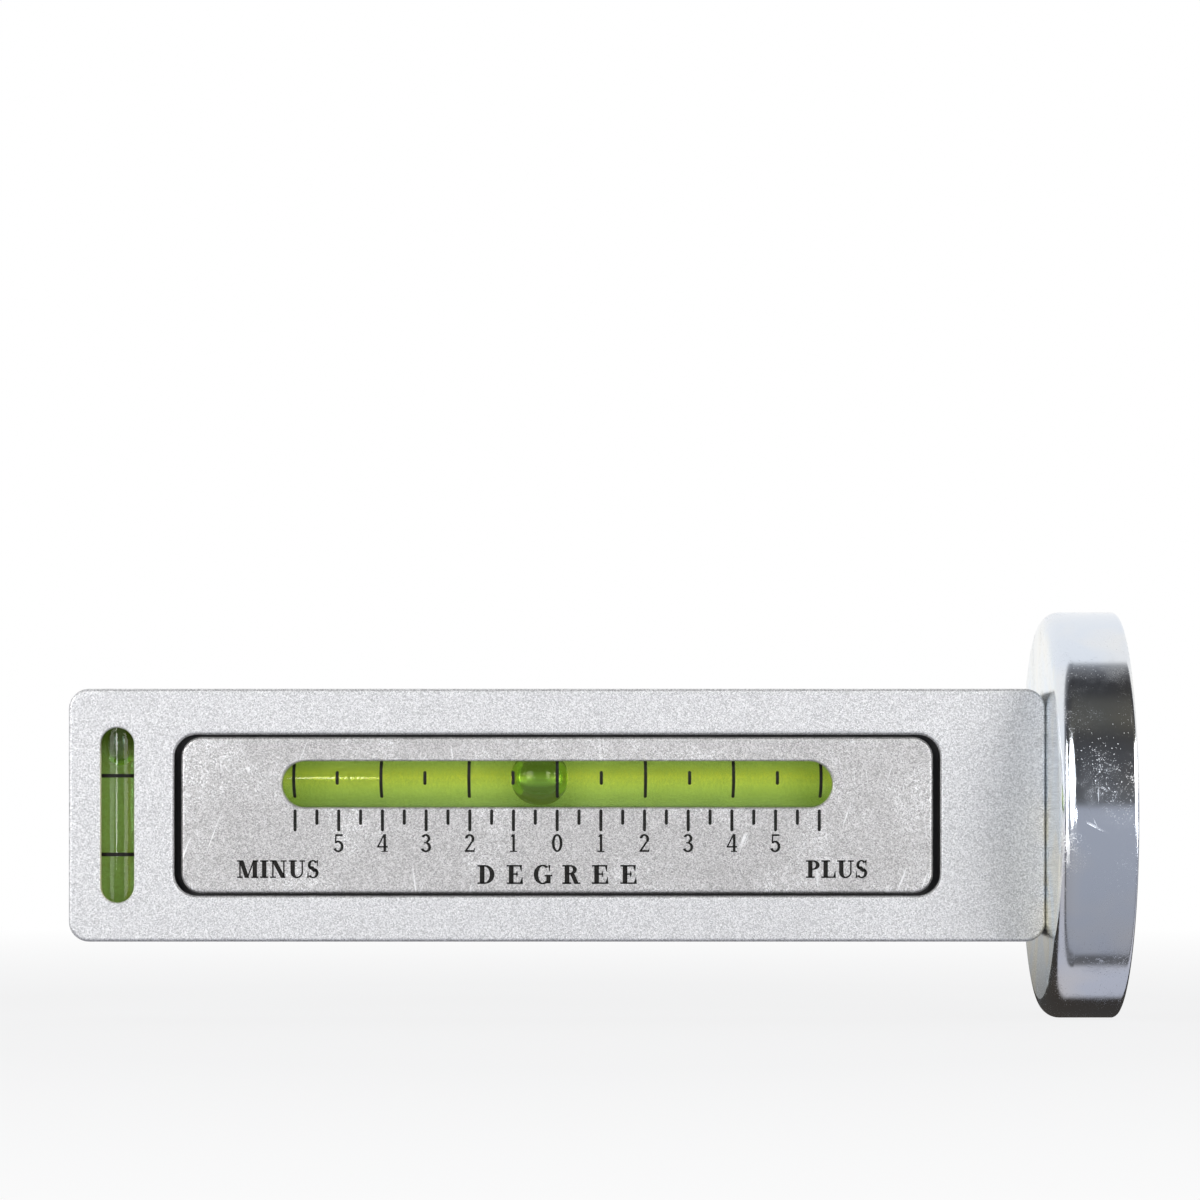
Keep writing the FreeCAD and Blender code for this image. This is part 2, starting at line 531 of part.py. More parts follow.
def caster_spring():
    """A compression spring of one unbroken wire, from the well's floor to the carrier."""
    axis_radius = (SPRING_INNER_DIAMETER + SPRING_WIRE) / 2
    low = PLATE_BACK_DEPTH + SPRING_END_GAP + SPRING_WIRE / 2
    high = SPRING_SEAT_DEPTH - SPRING_END_GAP - SPRING_WIRE / 2
    pitch = (high - low) / SPRING_TURNS
    print("caster spring: gap between turns", round(pitch - SPRING_WIRE, 3))

    def on_helix(turns):
        angle = 2 * math.pi * turns
        return place(
            ADJUST_X + axis_radius * math.cos(angle),
            low + pitch * turns,
            -ADJUST_DROP + axis_radius * math.sin(angle),
        )

    arcs = []
    step = 1 / SPRING_ARCS_PER_TURN
    for count in range(SPRING_TURNS * SPRING_ARCS_PER_TURN):
        start = count * step
        arcs.append(Part.Arc(on_helix(start), on_helix(start + step / 2), on_helix(start + step)).toShape())
    path = Part.Wire(arcs)
    first = arcs[0]
    section = Part.Wire(Part.makeCircle(SPRING_WIRE / 2, on_helix(0), first.tangentAt(first.FirstParameter)))
    return turned_over(path.makePipeShell([section], True, False))


# Bar
def caster_room():
    """What is cut from the bar for the carrier, its sleeve, its pins, its spring and its screw."""
    channel = bent_channel(CASTER_CHANNEL_WIDTH, CASTER_CHANNEL_LENGTH)
    cuts = [pocket_cut(CASTER_FLOOR_DEPTH)]
    for side in (-1, 1):
        tilted = channel.copy()
        tilted.rotate(place(PLATE_MIDDLE, PIVOT_DEPTH, 0), Z_AXIS, side * CARRIER_TILT_DEGREES)
        cuts.append(tilted)
    cuts.extend(at_pivots(PIVOT_DIAMETER, PIVOT_TIP, HALF_HEIGHT + OVERRUN))
    well = place(ADJUST_X, 0, -ADJUST_DROP)
    cuts.append(rod(SPRING_WELL_DIAMETER, well, Y_AXIS, SPRING_SEAT_DEPTH))
    cuts.append(rod(ADJUST_SHANK_DIAMETER + 2 * ADJUST_THREAD_GAP, well, Y_AXIS, ADJUST_HOLE_DEPTH))
    return [turned_over(cut) for cut in cuts]


def camber_room():
    """What is cut from the bar for the camber plate, its vial and its screws."""
    cuts = [
        pocket_cut(PLATE_BACK_DEPTH),
        bent_channel(CAMBER_CHANNEL_WIDTH, VIAL_LENGTH + 2 * VIAL_CLEARANCE),
    ]
    for side in (-1, 1):
        x = PLATE_MIDDLE + side * PLATE_SCREW_DISTANCE
        start = place(x, 0, -PLATE_SCREW_DROP)
        seat = place(x, PLATE_SCREW_HEAD_SEAT, -PLATE_SCREW_DROP)
        hole = PLATE_SCREW_DIAMETER + 2 * PLATE_SCREW_HOLE_GAP
        head_hole = PLATE_SCREW_HEAD_DIAMETER + 2 * PLATE_SCREW_HOLE_GAP
        cuts.append(rod(hole, start, Y_AXIS, CASTER_FLOOR_FROM_CAMBER))
        cuts.append(rod(head_hole, seat, Y_AXIS, CASTER_FLOOR_FROM_CAMBER - PLATE_SCREW_HEAD_SEAT))
    return cuts


def level_room():
    """What is cut from the bar for the cross level: a hole from below and a viewing slot."""
    floor = LEVEL_COVER + LEVEL_DIAMETER / 2
    return [
        level_rod(LEVEL_HOLE, -HALF_HEIGHT - OVERRUN, LEVEL_LENGTH / 2 + LEVEL_PAD_THICKNESS),
        round_ended_slot(LEVEL_X, 0, Z_AXIS, LEVEL_SLOT_LENGTH, LEVEL_SLOT_WIDTH, -OVERRUN, floor),
    ]


def body_block():
    block = rounded_slab(BAR_LEFT, BAR_RIGHT, BAR_HEIGHT, BAR_CORNER_RADIUS, 0, BAR_THICKNESS)
    rims = [e for e in block.Edges if e.BoundBox.YLength < SAME_PLACE]
    block = block.makeFillet(BAR_EDGE_RADIUS, rims)
    screw_reach = MAGNET_SCREW_SINK + MAGNET_SCREW_LENGTH + MAGNET_SCREW_END_GAP
    screw_hole = rod(MAGNET_SCREW_DIAMETER + 2 * MAGNET_SCREW_GAP, ORIGIN, X_AXIS * -1, screw_reach)
    for cut in camber_room() + caster_room() + level_room() + [screw_hole]:
        block = block.cut(cut)
    reach = POCKET_LENGTH / 2 + SAME_PLACE
    for depth in (0, BAR_THICKNESS):
        rim = edges_at_depth(block, depth, PLATE_MIDDLE - reach, PLATE_MIDDLE + reach)
        block = block.makeChamfer(POCKET_EDGE_BEVEL, rim)
    slot_rim = edges_at_depth(block, 0, LEVEL_X - LEVEL_SLOT_WIDTH, LEVEL_X + LEVEL_SLOT_WIDTH)
    return block.makeChamfer(LEVEL_SLOT_BEVEL, slot_rim)


# Magnet
def ring(outer, inner, x_from, x_to):
    start = FreeCAD.Vector(x_from, 0, 0)
    length = x_to - x_from
    return rod(outer, start, X_AXIS, length).cut(rod(inner, start, X_AXIS, length))


def countersunk_screw(diameter, head_diameter):
    """A countersunk screw on the X axis with its head towards the contact face, with no socket."""
    head_height = (head_diameter - diameter) / 2
    top = FreeCAD.Vector(-MAGNET_SCREW_SINK, 0, 0)
    shank = rod(diameter, top, X_AXIS * -1, MAGNET_SCREW_LENGTH)
    head = Part.makeCone(head_diameter / 2, diameter / 2, head_height, top, X_AXIS * -1)
    return fused(shank, head)


def magnet_screw_hole():
    """Clearance for the screw through the core and the cup."""
    diameter = MAGNET_SCREW_DIAMETER + 2 * MAGNET_SCREW_GAP
    head_diameter = MAGNET_SCREW_HEAD_DIAMETER + 2 * MAGNET_SCREW_GAP
    mouth = rod(head_diameter, FreeCAD.Vector(-MAGNET_SCREW_SINK, 0, 0), X_AXIS, MAGNET_SCREW_SINK + OVERRUN)
    return fused(countersunk_screw(diameter, head_diameter), mouth)


def magnet_cup():
    cup = rod(CUP_DIAMETER, FreeCAD.Vector(-CUP_DEPTH, 0, 0), X_AXIS, CUP_DEPTH)
    cup = cup.makeFillet(CUP_BACK_RADIUS, edges_at_x(cup, -CUP_DEPTH))
    cup = cup.makeFillet(CUP_RIM_RADIUS, edges_at_x(cup, 0))
    hollow = rod(CUP_BORE, FreeCAD.Vector(CUP_FLOOR - CUP_DEPTH, 0, 0), X_AXIS, CUP_DEPTH)
    return cup.cut(hollow).cut(magnet_screw_hole())


def magnet_ring():
    face = -RING_RECESS
    magnet = ring(RING_OUTER_DIAMETER, RING_INNER_DIAMETER, CUP_FLOOR - CUP_DEPTH, face)
    return magnet.makeChamfer(RING_EDGE_BEVEL, edges_at_x(magnet, face))


def magnet_core():
    core = rod(CORE_DIAMETER, FreeCAD.Vector(CUP_FLOOR - CUP_DEPTH, 0, 0), X_AXIS, CUP_DEPTH - CUP_FLOOR)
    core = core.makeChamfer(CORE_EDGE_BEVEL, edges_at_x(core, 0))
    return core.cut(magnet_screw_hole())


def magnet_potting():
    floor = CUP_FLOOR - CUP_DEPTH
    outer = ring(CUP_BORE, RING_OUTER_DIAMETER, floor, -POTTING_RECESS)
    inner = ring(RING_INNER_DIAMETER, CORE_DIAMETER, floor, -POTTING_RECESS)
    return Part.makeCompound([outer.cut(magnet_ring()), inner.cut(magnet_ring())])


def magnet_screw():
    screw = countersunk_screw(MAGNET_SCREW_DIAMETER, MAGNET_SCREW_HEAD_DIAMETER)
    top = FreeCAD.Vector(-MAGNET_SCREW_SINK, 0, 0)
    return screw.cut(socket_screw_cut(MAGNET_SCREW_SOCKET, top, X_AXIS * -1, MAGNET_SCREW_SOCKET_DEPTH))


nodes = {
    "body_block": body_block(),
    "camber_scale_plate": camber_scale_plate(),
    "camber_plate_screws": camber_plate_screws(),
    "level_bore_pad": level_bore_pad(),
    "level_bore_cap": level_bore_cap(),
    "caster_carrier": caster_carrier(),
    "caster_pivot_pins": caster_pivot_pins(),
    "caster_adjust_screw": caster_adjust_screw(),
    "caster_adjust_washer": caster_adjust_washer(),
    "caster_spring": caster_spring(),
    "magnet_cup": magnet_cup(),
    "magnet_ring": magnet_ring(),
    "magnet_core": magnet_core(),
    "magnet_potting": magnet_potting(),
    "magnet_screw": magnet_screw(),
}
for piece, shape in bent_vial(CAMBER_READING).items():
    nodes["camber_vial_" + piece] = shape
for piece, shape in bent_vial(CASTER_READING).items():
    nodes["caster_vial_" + piece] = turned_over(shape)
for piece, shape in level_vial().items():
    nodes["level_vial_" + piece] = shape

os.makedirs("parts", exist_ok=True)
for name, shape in nodes.items():
    shape.exportStep("parts/" + name + ".step")
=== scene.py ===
import json
import math

import bmesh
import bpy
from mathutils import Matrix, Vector


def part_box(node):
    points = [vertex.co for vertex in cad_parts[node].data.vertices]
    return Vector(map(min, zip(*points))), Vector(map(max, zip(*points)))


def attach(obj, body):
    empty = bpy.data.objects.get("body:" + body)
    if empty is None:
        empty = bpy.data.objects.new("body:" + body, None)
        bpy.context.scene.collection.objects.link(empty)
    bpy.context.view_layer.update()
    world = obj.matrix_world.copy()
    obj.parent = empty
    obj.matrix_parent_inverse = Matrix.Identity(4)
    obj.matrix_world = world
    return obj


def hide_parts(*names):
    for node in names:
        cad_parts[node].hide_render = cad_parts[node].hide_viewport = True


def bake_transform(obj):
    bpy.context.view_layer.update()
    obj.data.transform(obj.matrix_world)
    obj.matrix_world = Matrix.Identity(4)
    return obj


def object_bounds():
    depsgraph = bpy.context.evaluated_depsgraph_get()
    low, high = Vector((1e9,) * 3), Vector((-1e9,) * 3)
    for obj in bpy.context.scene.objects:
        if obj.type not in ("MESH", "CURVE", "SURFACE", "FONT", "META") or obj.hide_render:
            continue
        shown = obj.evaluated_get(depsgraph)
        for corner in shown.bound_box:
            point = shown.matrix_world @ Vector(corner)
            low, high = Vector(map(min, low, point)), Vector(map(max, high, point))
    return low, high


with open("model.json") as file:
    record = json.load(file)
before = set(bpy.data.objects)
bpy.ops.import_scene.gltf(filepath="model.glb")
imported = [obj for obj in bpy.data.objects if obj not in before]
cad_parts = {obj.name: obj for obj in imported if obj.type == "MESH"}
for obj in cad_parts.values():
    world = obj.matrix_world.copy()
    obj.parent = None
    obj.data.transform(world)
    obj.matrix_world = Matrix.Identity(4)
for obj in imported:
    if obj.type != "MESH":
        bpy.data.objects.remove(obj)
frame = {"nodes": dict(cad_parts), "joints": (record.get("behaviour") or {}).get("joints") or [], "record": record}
cad_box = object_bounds()
slots = {row["node"]: row["material_slot"] for row in frame["record"]["subparts"]}

# Looks of the camber and caster gauge, in metres. +X is out of the magnet's face, -Y is the camber
# side, +Z is up. What belongs to the caster side is drawn at the camber side and turned over.
MM = 0.001
TURN_OVER = Matrix.Rotation(math.pi, 4, "X")
AS_DRAWN = Matrix.Identity(4)

# Camera, from the photograph's perspective: its frame is 1200 pixels wide and high
PHOTO_WIDTH = 1200
FOCAL_LENGTH = 4060
PRINCIPAL_X = 615
PRINCIPAL_Y = 794
CAMERA_PLACE = Vector((-80.1, -652, 3.35)) * MM
SENSOR_WIDTH = 36.0
CLIP_START = 10 * MM

# Refraction: this pair makes the liquid look as wide as the window, as in the photograph
REFRACTION_ACRYLIC = 1.56
REFRACTION_LIQUID = 1.55

# Liquid: its dye, then painted light and shade on its surface, a glow, tints yellow above and green below the
# vial's middle, darker bands towards its top and bottom, and grain standing for the channel behind, with where
# they lie above or below the vial's middle
LIQUID_TINT = (0.98, 0.99, 0.64, 1)
LIQUID_DENSITY = 300.0
# Painted light: the liquid glows with this colour, though it is no lamp
LIQUID_PAINTED_GLOW = (0.5, 0.76, 0.08, 1)
LIQUID_PAINTED_GLOW_STRENGTH = 0.08
# Painted light: the liquid's surface is tinted yellow above the vial's middle and green below it, standing in for
# how light falls through the vial
LIQUID_GREEN = (0.72, 1.0, 1.0, 1)
LIQUID_YELLOW = (1.0, 0.95, 0.5, 1)
# Painted shade: the liquid's surface turns to this colour towards the vial's top and bottom, and towards the cross
# level's sides
LIQUID_PAINTED_SHADE = (0.32, 0.44, 0.5, 1)
# Painted reflection: a grain on the liquid that stands for the blasted channel behind it, seen through the liquid
LIQUID_PAINTED_CHANNEL_GRAIN = (0.62, 0.75, 0.6, 1)
LIQUID_GREEN_DROP = 2.8 * MM
LIQUID_YELLOW_RISE = 0.3 * MM
LIQUID_PAINTED_LIGHT_DROP = 0.4 * MM
LIQUID_PAINTED_LIGHT_REACH = (0.5 * MM, 1.8 * MM)

# Bubbles. Their tints are painted shade: air has no colour, and the tint darkens what is seen through a bubble
BUBBLE_BLUNTNESS = 2.25
BUBBLE_PAINTED_SHADE = (0.62, 0.86, 0.66, 1)
LEVEL_BUBBLE_PAINTED_SHADE = (0.42, 0.44, 0.42, 1)

# Pale strip in the channel behind each bent vial: a white backing, narrowed and faded into painted light that
# lights the liquid seen through it, with painted shade beside it
STRIP_DROP = 0.3 * MM
STRIP_HALF = 0.9 * MM
STRIP_SOFT = 1.3 * MM
STRIP_SHADE = 0.12
STRIP_PAST_VIAL = 0.8 * MM
STRIP_END_SOFT = 0.2 * MM
STRIP_BESIDE_VIAL = 0.5 * MM

# Cross level: a yellow band of painted light in its liquid, a wall behind it painted pale with a painted lit line,
# and painted shade on the wall behind the bubble
# Painted light: the cross level's liquid glows too, though it is no lamp
LEVEL_PAINTED_GLOW_STRENGTH = 0.035
LEVEL_BAND_OFFSET = 1.2 * MM
LEVEL_BAND_REACH = (0.2 * MM, 0.25 * MM)
LEVEL_WALL_PAINTED_LIGHT = (0.72, 0.67, 0.44, 1)
LEVEL_WALL_PAST_VIAL = 1.5 * MM
LEVEL_PAINTED_LIT = (1.0, 0.9, 0.2, 1)
LEVEL_LIT_OFFSET = 0.52 * MM
LEVEL_LIT_REACH = (0.1 * MM, 0.08 * MM)
LEVEL_SHADE_FROM = 9.5 * MM
LEVEL_SHADE_TO = 12.5 * MM

# Caster spring: its wire, and how much wider than even its middle turns lie
SPRING_WIRE = 0.5 * MM
SPRING_TURNS = 4
SPRING_OPENING = 0.4

# Fineness of the meshes
STEPS_ROUND = 96
STEPS_ALONG = 72
STEPS_BUBBLE = 40
STEPS_BOWL = 28
STEPS_STROKE = 12
STEPS_STROKE_END = 5
STEPS_SPRING_TURN = 40
STEPS_SPRING_ROUND = 20
SHARP_DEGREES = 35

# Ink: how far its two faces lie above the surface that carries it
INK_LIFT = 0.003 * MM
INK_TOP = 0.02 * MM

# Marks on the bent vials. The caster side counts 1.5 degrees for each degree of tilt.
CASTER_DEGREES_PER_TILT = 1.5
CAMBER_MARKS = 6
CASTER_MARKS = 4
MARK_WIDTH = 0.5 * MM
LONG_MARK = 6.3 * MM
SHORT_MARK = 2.2 * MM

# Rings on the cross level
RING_OFFSET = 6.25 * MM
RING_WIDTH = 0.55 * MM

# Scale on a plate, measured down from its window's lower edge, which is below the vial's middle
WINDOW_EDGE = 4.68 * MM
CAMBER_TICKS = 12
CASTER_TICKS = 9
SCALE_GAP = 0.30 * MM
LONG_TICK = 3.48 * MM
SHORT_TICK = 2.46 * MM
TICK_WIDTH = 0.5 * MM
NUMBER_HEIGHT = 2.82 * MM
NUMBER_DROP = 4.22 * MM
WORD_HEIGHT = 3.0 * MM
WORD_DROP = 9.1 * MM
SIDE_WORD_HEIGHT = 2.8 * MM
SIDE_WORD_DROP = 8.35 * MM
SIDE_WORD_REACH = 44.2 * MM
WORD_PITCH = 4.5 * MM
LETTER_GAP_SHARE = 0.05


# Meshes
def finish_mesh(name, bm, materials):
    bmesh.ops.recalc_face_normals(bm, faces=bm.faces)
    mesh = bpy.data.meshes.new(name)
    bm.to_mesh(mesh)
    bm.free()
    for material in materials:
        mesh.materials.append(material)
    mesh.polygons.foreach_set("use_smooth", [True] * len(mesh.polygons))
    mesh.set_sharp_from_angle(angle=math.radians(SHARP_DEGREES))
    piece = bpy.data.objects.new(name, mesh)
    bpy.context.scene.collection.objects.link(piece)
    return piece


def settle(piece, body, turn, node=None):
    """Turns a piece to its side of the bar and hangs it on its body, in the place of a named node."""
    piece.data.transform(turn)
    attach(piece, body)
    if node:
        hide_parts(node)


def revolved(name, profile, path, materials, closed=False, material_of=None, steps=STEPS_ROUND):
    """Turns a profile of (distance along, radius) about a path. A radius of 0 makes a point."""
    bm = bmesh.new()
    rings = []
    for along, radius in profile:
        centre, out, up = path(along)
        count = steps if radius > 0 else 1
        turns = [2 * math.pi * step / steps for step in range(count)]
        spokes = [out * math.cos(turn) + up * math.sin(turn) for turn in turns]
        rings.append([bm.verts.new(centre + spoke * radius) for spoke in spokes])
    pairs = list(zip(rings, rings[1:] + rings[:1]))
    if not closed:
        pairs.pop()
    for number, (first, second) in enumerate(pairs):
        for step in range(steps):
            ring_verts = [
                first[step % len(first)], first[(step + 1) % len(first)],
                second[(step + 1) % len(second)], second[step % len(second)],
            ]
            corners = list(dict.fromkeys(ring_verts))
            face = bm.faces.new(corners)
            face.material_index = material_of(number) if material_of else 0
    return finish_mesh(name, bm, materials)


def evenly(start, end, steps):
    return [start + (end - start) * step / steps for step in range(steps + 1)]


def add_ribbon(bm, left, right, lay):
    """A thin closed strip between two edges. lay(u, v, lift) puts its points on what carries it."""
    rings = []
    for (left_u, left_v), (right_u, right_v) in zip(left, right):
        places = [
            lay(left_u, left_v, INK_LIFT), lay(right_u, right_v, INK_LIFT),
            lay(right_u, right_v, INK_TOP), lay(left_u, left_v, INK_TOP),
        ]
        rings.append([bm.verts.new(place) for place in places])
    for first, second in zip(rings, rings[1:]):
        for corner in range(4):
            after = (corner + 1) % 4
            bm.faces.new((first[corner], first[after], second[after], second[corner]))
    bm.faces.new(rings[0])
    bm.faces.new(rings[-1])


def add_round_ended(bm, u, v_from, v_to, width, lay):
    """An upright stroke whose ends are half-round."""
    radius = width / 2
    angles = evenly(-math.pi / 2, 0, STEPS_STROKE_END)[1:]
    low = [(v_from + radius + radius * math.sin(a), radius * math.cos(a)) for a in angles]
    high = [(v_to - radius - radius * math.sin(a), radius * math.cos(a)) for a in reversed(angles)]
    middle = [(v, radius) for v in evenly(low[-1][0], high[0][0], STEPS_STROKE)[1:-1]]
    rows = low + middle + high
    add_ribbon(bm, [(u - half, v) for v, half in rows], [(u + half, v) for v, half in rows], lay)


# Letters: each has its width and a list of strokes, all in shares of the capital height.
# A stem slants from one point to another and is cut level, and a wedge is one that widens. A bar is
# level. A bowl is part of a ring with an elliptical edge, thick at its sides and thin above and below.
BOLD = 0.25
HAIR = 0.085


def wedge(x_from, y_from, x_to, y_to, width_from, width_to):
    left = [(x_from - width_from / 2, y_from), (x_to - width_to / 2, y_to)]
    right = [(x_from + width_from / 2, y_from), (x_to + width_to / 2, y_to)]
    return left, right


def stem(x_from, y_from, x_to, y_to, width):
    return wedge(x_from, y_from, x_to, y_to, width, width)


def upright(x, width=BOLD):
    return stem(x, 0, x, 1, width)


def bar(x_from, x_to, y, width):
    low = y - width / 2
    high = y + width / 2
    return [(x_from, low), (x_to, low)], [(x_from, high), (x_to, high)]


def bowl(x, y, reach_x, reach_y, start, end, thick, thin):
    turns = [math.radians(turn) for turn in evenly(start, end, STEPS_BOWL)]
    outer = [(x + reach_x * math.cos(t), y + reach_y * math.sin(t)) for t in turns]
    inner = [(x + (reach_x - thick) * math.cos(t), y + (reach_y - thin) * math.sin(t)) for t in turns]
    return outer, inner


def serifs(*spans):
    """Feet, each given by its two ends and 0 for the base line or 1 for the top."""
    return [bar(x_from, x_to, HAIR / 2 + (1 - HAIR) * level, HAIR) for x_from, x_to, level in spans]


def words_d():
    ring = bowl(0.4, 0.5, 0.52, 0.5, -90, 90, BOLD, HAIR)
    return [upright(0.27), ring, *serifs((0.02, 0.45, 0), (0.02, 0.45, 1))]


def words_e():
    arms = [bar(0.27, 0.56, 0.52, HAIR), *serifs((0.02, 0.8, 1), (0.02, 0.84, 0))]
    tips = [wedge(0.76, 1, 0.8, 0.66, 0.16, 0.03), wedge(0.8, 0, 0.85, 0.36, 0.18, 0.03)]
    middle = [wedge(0.57, 0.36, 0.57, 0.52, 0.03, 0.1), wedge(0.57, 0.52, 0.57, 0.68, 0.1, 0.03)]
    return [upright(0.27), *arms, *tips, *middle]


def words_g():
    ring = bowl(0.49, 0.5, 0.48, 0.52, 48, 312, BOLD, HAIR)
    foot = [stem(0.79, 0.44, 0.79, 0.03, 0.23), bar(0.58, 1.0, 0.44, HAIR)]
    return [ring, *foot, wedge(0.84, 0.66, 0.84, 1, 0.03, 0.12)]


def words_i():
    return [upright(0.25), *serifs((0.02, 0.48, 0), (0.02, 0.48, 1))]


def words_l():
    return [upright(0.27), *serifs((0.02, 0.8, 0), (0.02, 0.52, 1)), wedge(0.76, 0, 0.81, 0.4, 0.18, 0.03)]


def words_m():
    slants = [stem(0.27, 1, 0.6, 0, 0.25), stem(0.62, 0, 0.98, 1, HAIR)]
    feet = serifs((0.04, 0.36, 0), (0.04, 0.34, 1), (0.84, 1.24, 0), (0.96, 1.24, 1))
    return [upright(0.2, HAIR), *slants, upright(1.04), *feet]


def words_n():
    feet = serifs((0.03, 0.36, 0), (0.03, 0.32, 1), (0.64, 0.97, 1))
    return [upright(0.19, HAIR), stem(0.25, 1, 0.78, 0, 0.27), upright(0.81, HAIR), *feet]


def words_p():
    ring = bowl(0.43, 0.73, 0.37, 0.27, -90, 90, 0.22, HAIR)
    return [upright(0.27), ring, bar(0.27, 0.45, 0.5, HAIR), *serifs((0.02, 0.52, 0), (0.02, 0.45, 1))]


def words_r():
    ring = bowl(0.43, 0.75, 0.36, 0.25, -90, 90, 0.22, HAIR)
    leg = [bar(0.27, 0.5, 0.54, HAIR), stem(0.54, 0.54, 0.78, 0, 0.24)]
    return [upright(0.27), ring, *leg, *serifs((0.02, 0.5, 0), (0.02, 0.45, 1), (0.7, 0.98, 0))]


def words_s():
    upper = bowl(0.35, 0.73, 0.29, 0.29, 30, 245, 0.17, HAIR)
    lower = bowl(0.36, 0.28, 0.32, 0.3, 65, -150, 0.18, HAIR)
    tips = [wedge(0.6, 0.66, 0.6, 1, 0.03, 0.1), wedge(0.07, 0, 0.07, 0.38, 0.1, 0.03)]
    return [upper, lower, stem(0.22, 0.66, 0.51, 0.34, 0.28), *tips]


def words_u():
    sides = [stem(0.26, 1, 0.26, 0.34, BOLD), stem(0.8, 1, 0.8, 0.34, HAIR)]
    left = bowl(0.489, 0.34, 0.354, 0.36, 180, 270, BOLD, 0.1)
    right = bowl(0.489, 0.34, 0.354, 0.36, 270, 360, HAIR, 0.1)
    return [*sides, left, right, *serifs((0.03, 0.49, 1), (0.64, 0.97, 1))]


# Numbers, in the same shares
NUMBER_WIDTH = 0.6
NUMBER_BOLD = 0.16
NUMBER_THIN = 0.11


def ring_number(x, y, reach_x, reach_y, start=0, end=360):
    return bowl(x, y, reach_x, reach_y, start, end, NUMBER_BOLD, NUMBER_THIN)


NUMBERS = {
    "0": [ring_number(0.3, 0.5, 0.3, 0.51)],
    "1": [stem(0.31, 0, 0.31, 1, 0.14), bar(0.1, 0.51, 0.035, 0.07), wedge(0.22, 0.84, 0.28, 1, 0.16, 0.1)],
    "2": [ring_number(0.29, 0.73, 0.27, 0.28, 172, -38), stem(0.44, 0.6, 0.09, 0.08, 0.13),
          bar(0.02, 0.56, 0.055, 0.11), wedge(0.53, 0, 0.56, 0.24, 0.08, 0.03)],
    "3": [ring_number(0.28, 0.76, 0.26, 0.25, 160, -80), ring_number(0.28, 0.27, 0.3, 0.29, 80, -160),
          bar(0.18, 0.36, 0.52, 0.08)],
    "4": [stem(0.4, 1, 0.05, 0.3, 0.09), bar(0, 0.6, 0.29, 0.09), upright(0.43, 0.145),
          bar(0.24, 0.6, 0.03, 0.06)],
    "5": [bar(0.1, 0.52, 0.945, 0.11), stem(0.14, 1, 0.12, 0.48, 0.08),
          ring_number(0.27, 0.31, 0.3, 0.33, 128, -158)],
    "6": [ring_number(0.3, 0.3, 0.3, 0.32), ring_number(0.49, 0.38, 0.49, 0.63, 98, 180)],
    "8": [ring_number(0.3, 0.75, 0.25, 0.26), ring_number(0.3, 0.27, 0.3, 0.29)],
}
GLYPHS = {
    "D": (0.95, words_d()), "E": (0.88, words_e()), "G": (1.0, words_g()), "I": (0.5, words_i()),
    "L": (0.84, words_l()), "M": (1.27, words_m()), "N": (1.0, words_n()), "P": (0.82, words_p()),
    "R": (1.0, words_r()), "S": (0.7, words_s()), "U": (1.0, words_u()),
    **{digit: (NUMBER_WIDTH, strokes) for digit, strokes in NUMBERS.items()},
}


def add_glyph(bm, letter, centre_u, base_v, height, lay):
    width, strokes = GLYPHS[letter]
    corner = centre_u - width * height / 2
    for left, right in strokes:
        edges = [[(corner + x * height, base_v + y * height) for x, y in edge] for edge in (left, right)]
        add_ribbon(bm, *edges, lay)


def add_word(bm, word, centre_u, base_v, height, lay):
    """Letters side by side, with the same gap between all of them."""
    gap = LETTER_GAP_SHARE * height
    widths = [GLYPHS[letter][0] * height for letter in word]
    left = centre_u - (sum(widths) + gap * (len(word) - 1)) / 2
    for letter, width in zip(word, widths):
        add_glyph(bm, letter, left + width / 2, base_v, height, lay)
        left += width + gap


def add_spaced_word(bm, word, centre_u, base_v, height, lay):
    """Letters whose middles are evenly spaced."""
    for number, letter in enumerate(word):
        offset = (number - (len(word) - 1) / 2) * WORD_PITCH
        add_glyph(bm, letter, centre_u + offset, base_v, height, lay)


# Outlines that the frame doesn't give: corner radii, and the gap round the plates
BAR_CORNER = 3.2 * MM
PLATE_CORNER = 3.2 * MM
PLATE_END_GAP = 1.15 * MM
PLATE_SIDE_GAP = 0.4 * MM

# Places where a material changes: faces from the frame, depths below them, and heights on the cup
BAR_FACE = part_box("body_block")[1].y
PLATE_FACE = -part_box("camber_scale_plate")[0].y
CUP_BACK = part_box("magnet_cup")[0].x
# Below this depth, walls inside the bar's pockets and holes carry painted shade
RECESS_SHADE_DEPTH = 0.3 * MM
RECESS_SHADE_SOFT = 0.15 * MM
OUTER_SKIN = 0.35 * MM
OUTER_SKIN_SOFT = 0.1 * MM
# Painted shade on the plate's walls deeper than its face, in a band of this width round its outline
PLATE_RIM = 0.3 * MM
PLATE_RIM_SOFT = 0.05 * MM
PLATE_RIM_FROM = 0.27 * MM
PLATE_RIM_TO = 0.33 * MM
STAIN_DEPTH = 0.4 * MM
STAIN_FROM = -20 * MM
STAIN_TO = 30 * MM

# Reliefs in the materials
WORN_EDGE = 0.6 * MM
WORN_DEPTH = 0.22 * MM
GRAIN_DEPTH = 0.03 * MM
RIPPLE_DEPTH = 0.04 * MM
SCRATCH_DEPTH = 0.008 * MM
TURNING_DEPTH = 0.01 * MM
FINE_PITS = 0.01 * MM
PLAIN_PITS = 0.02 * MM
DEEP_PITS = 0.03 * MM


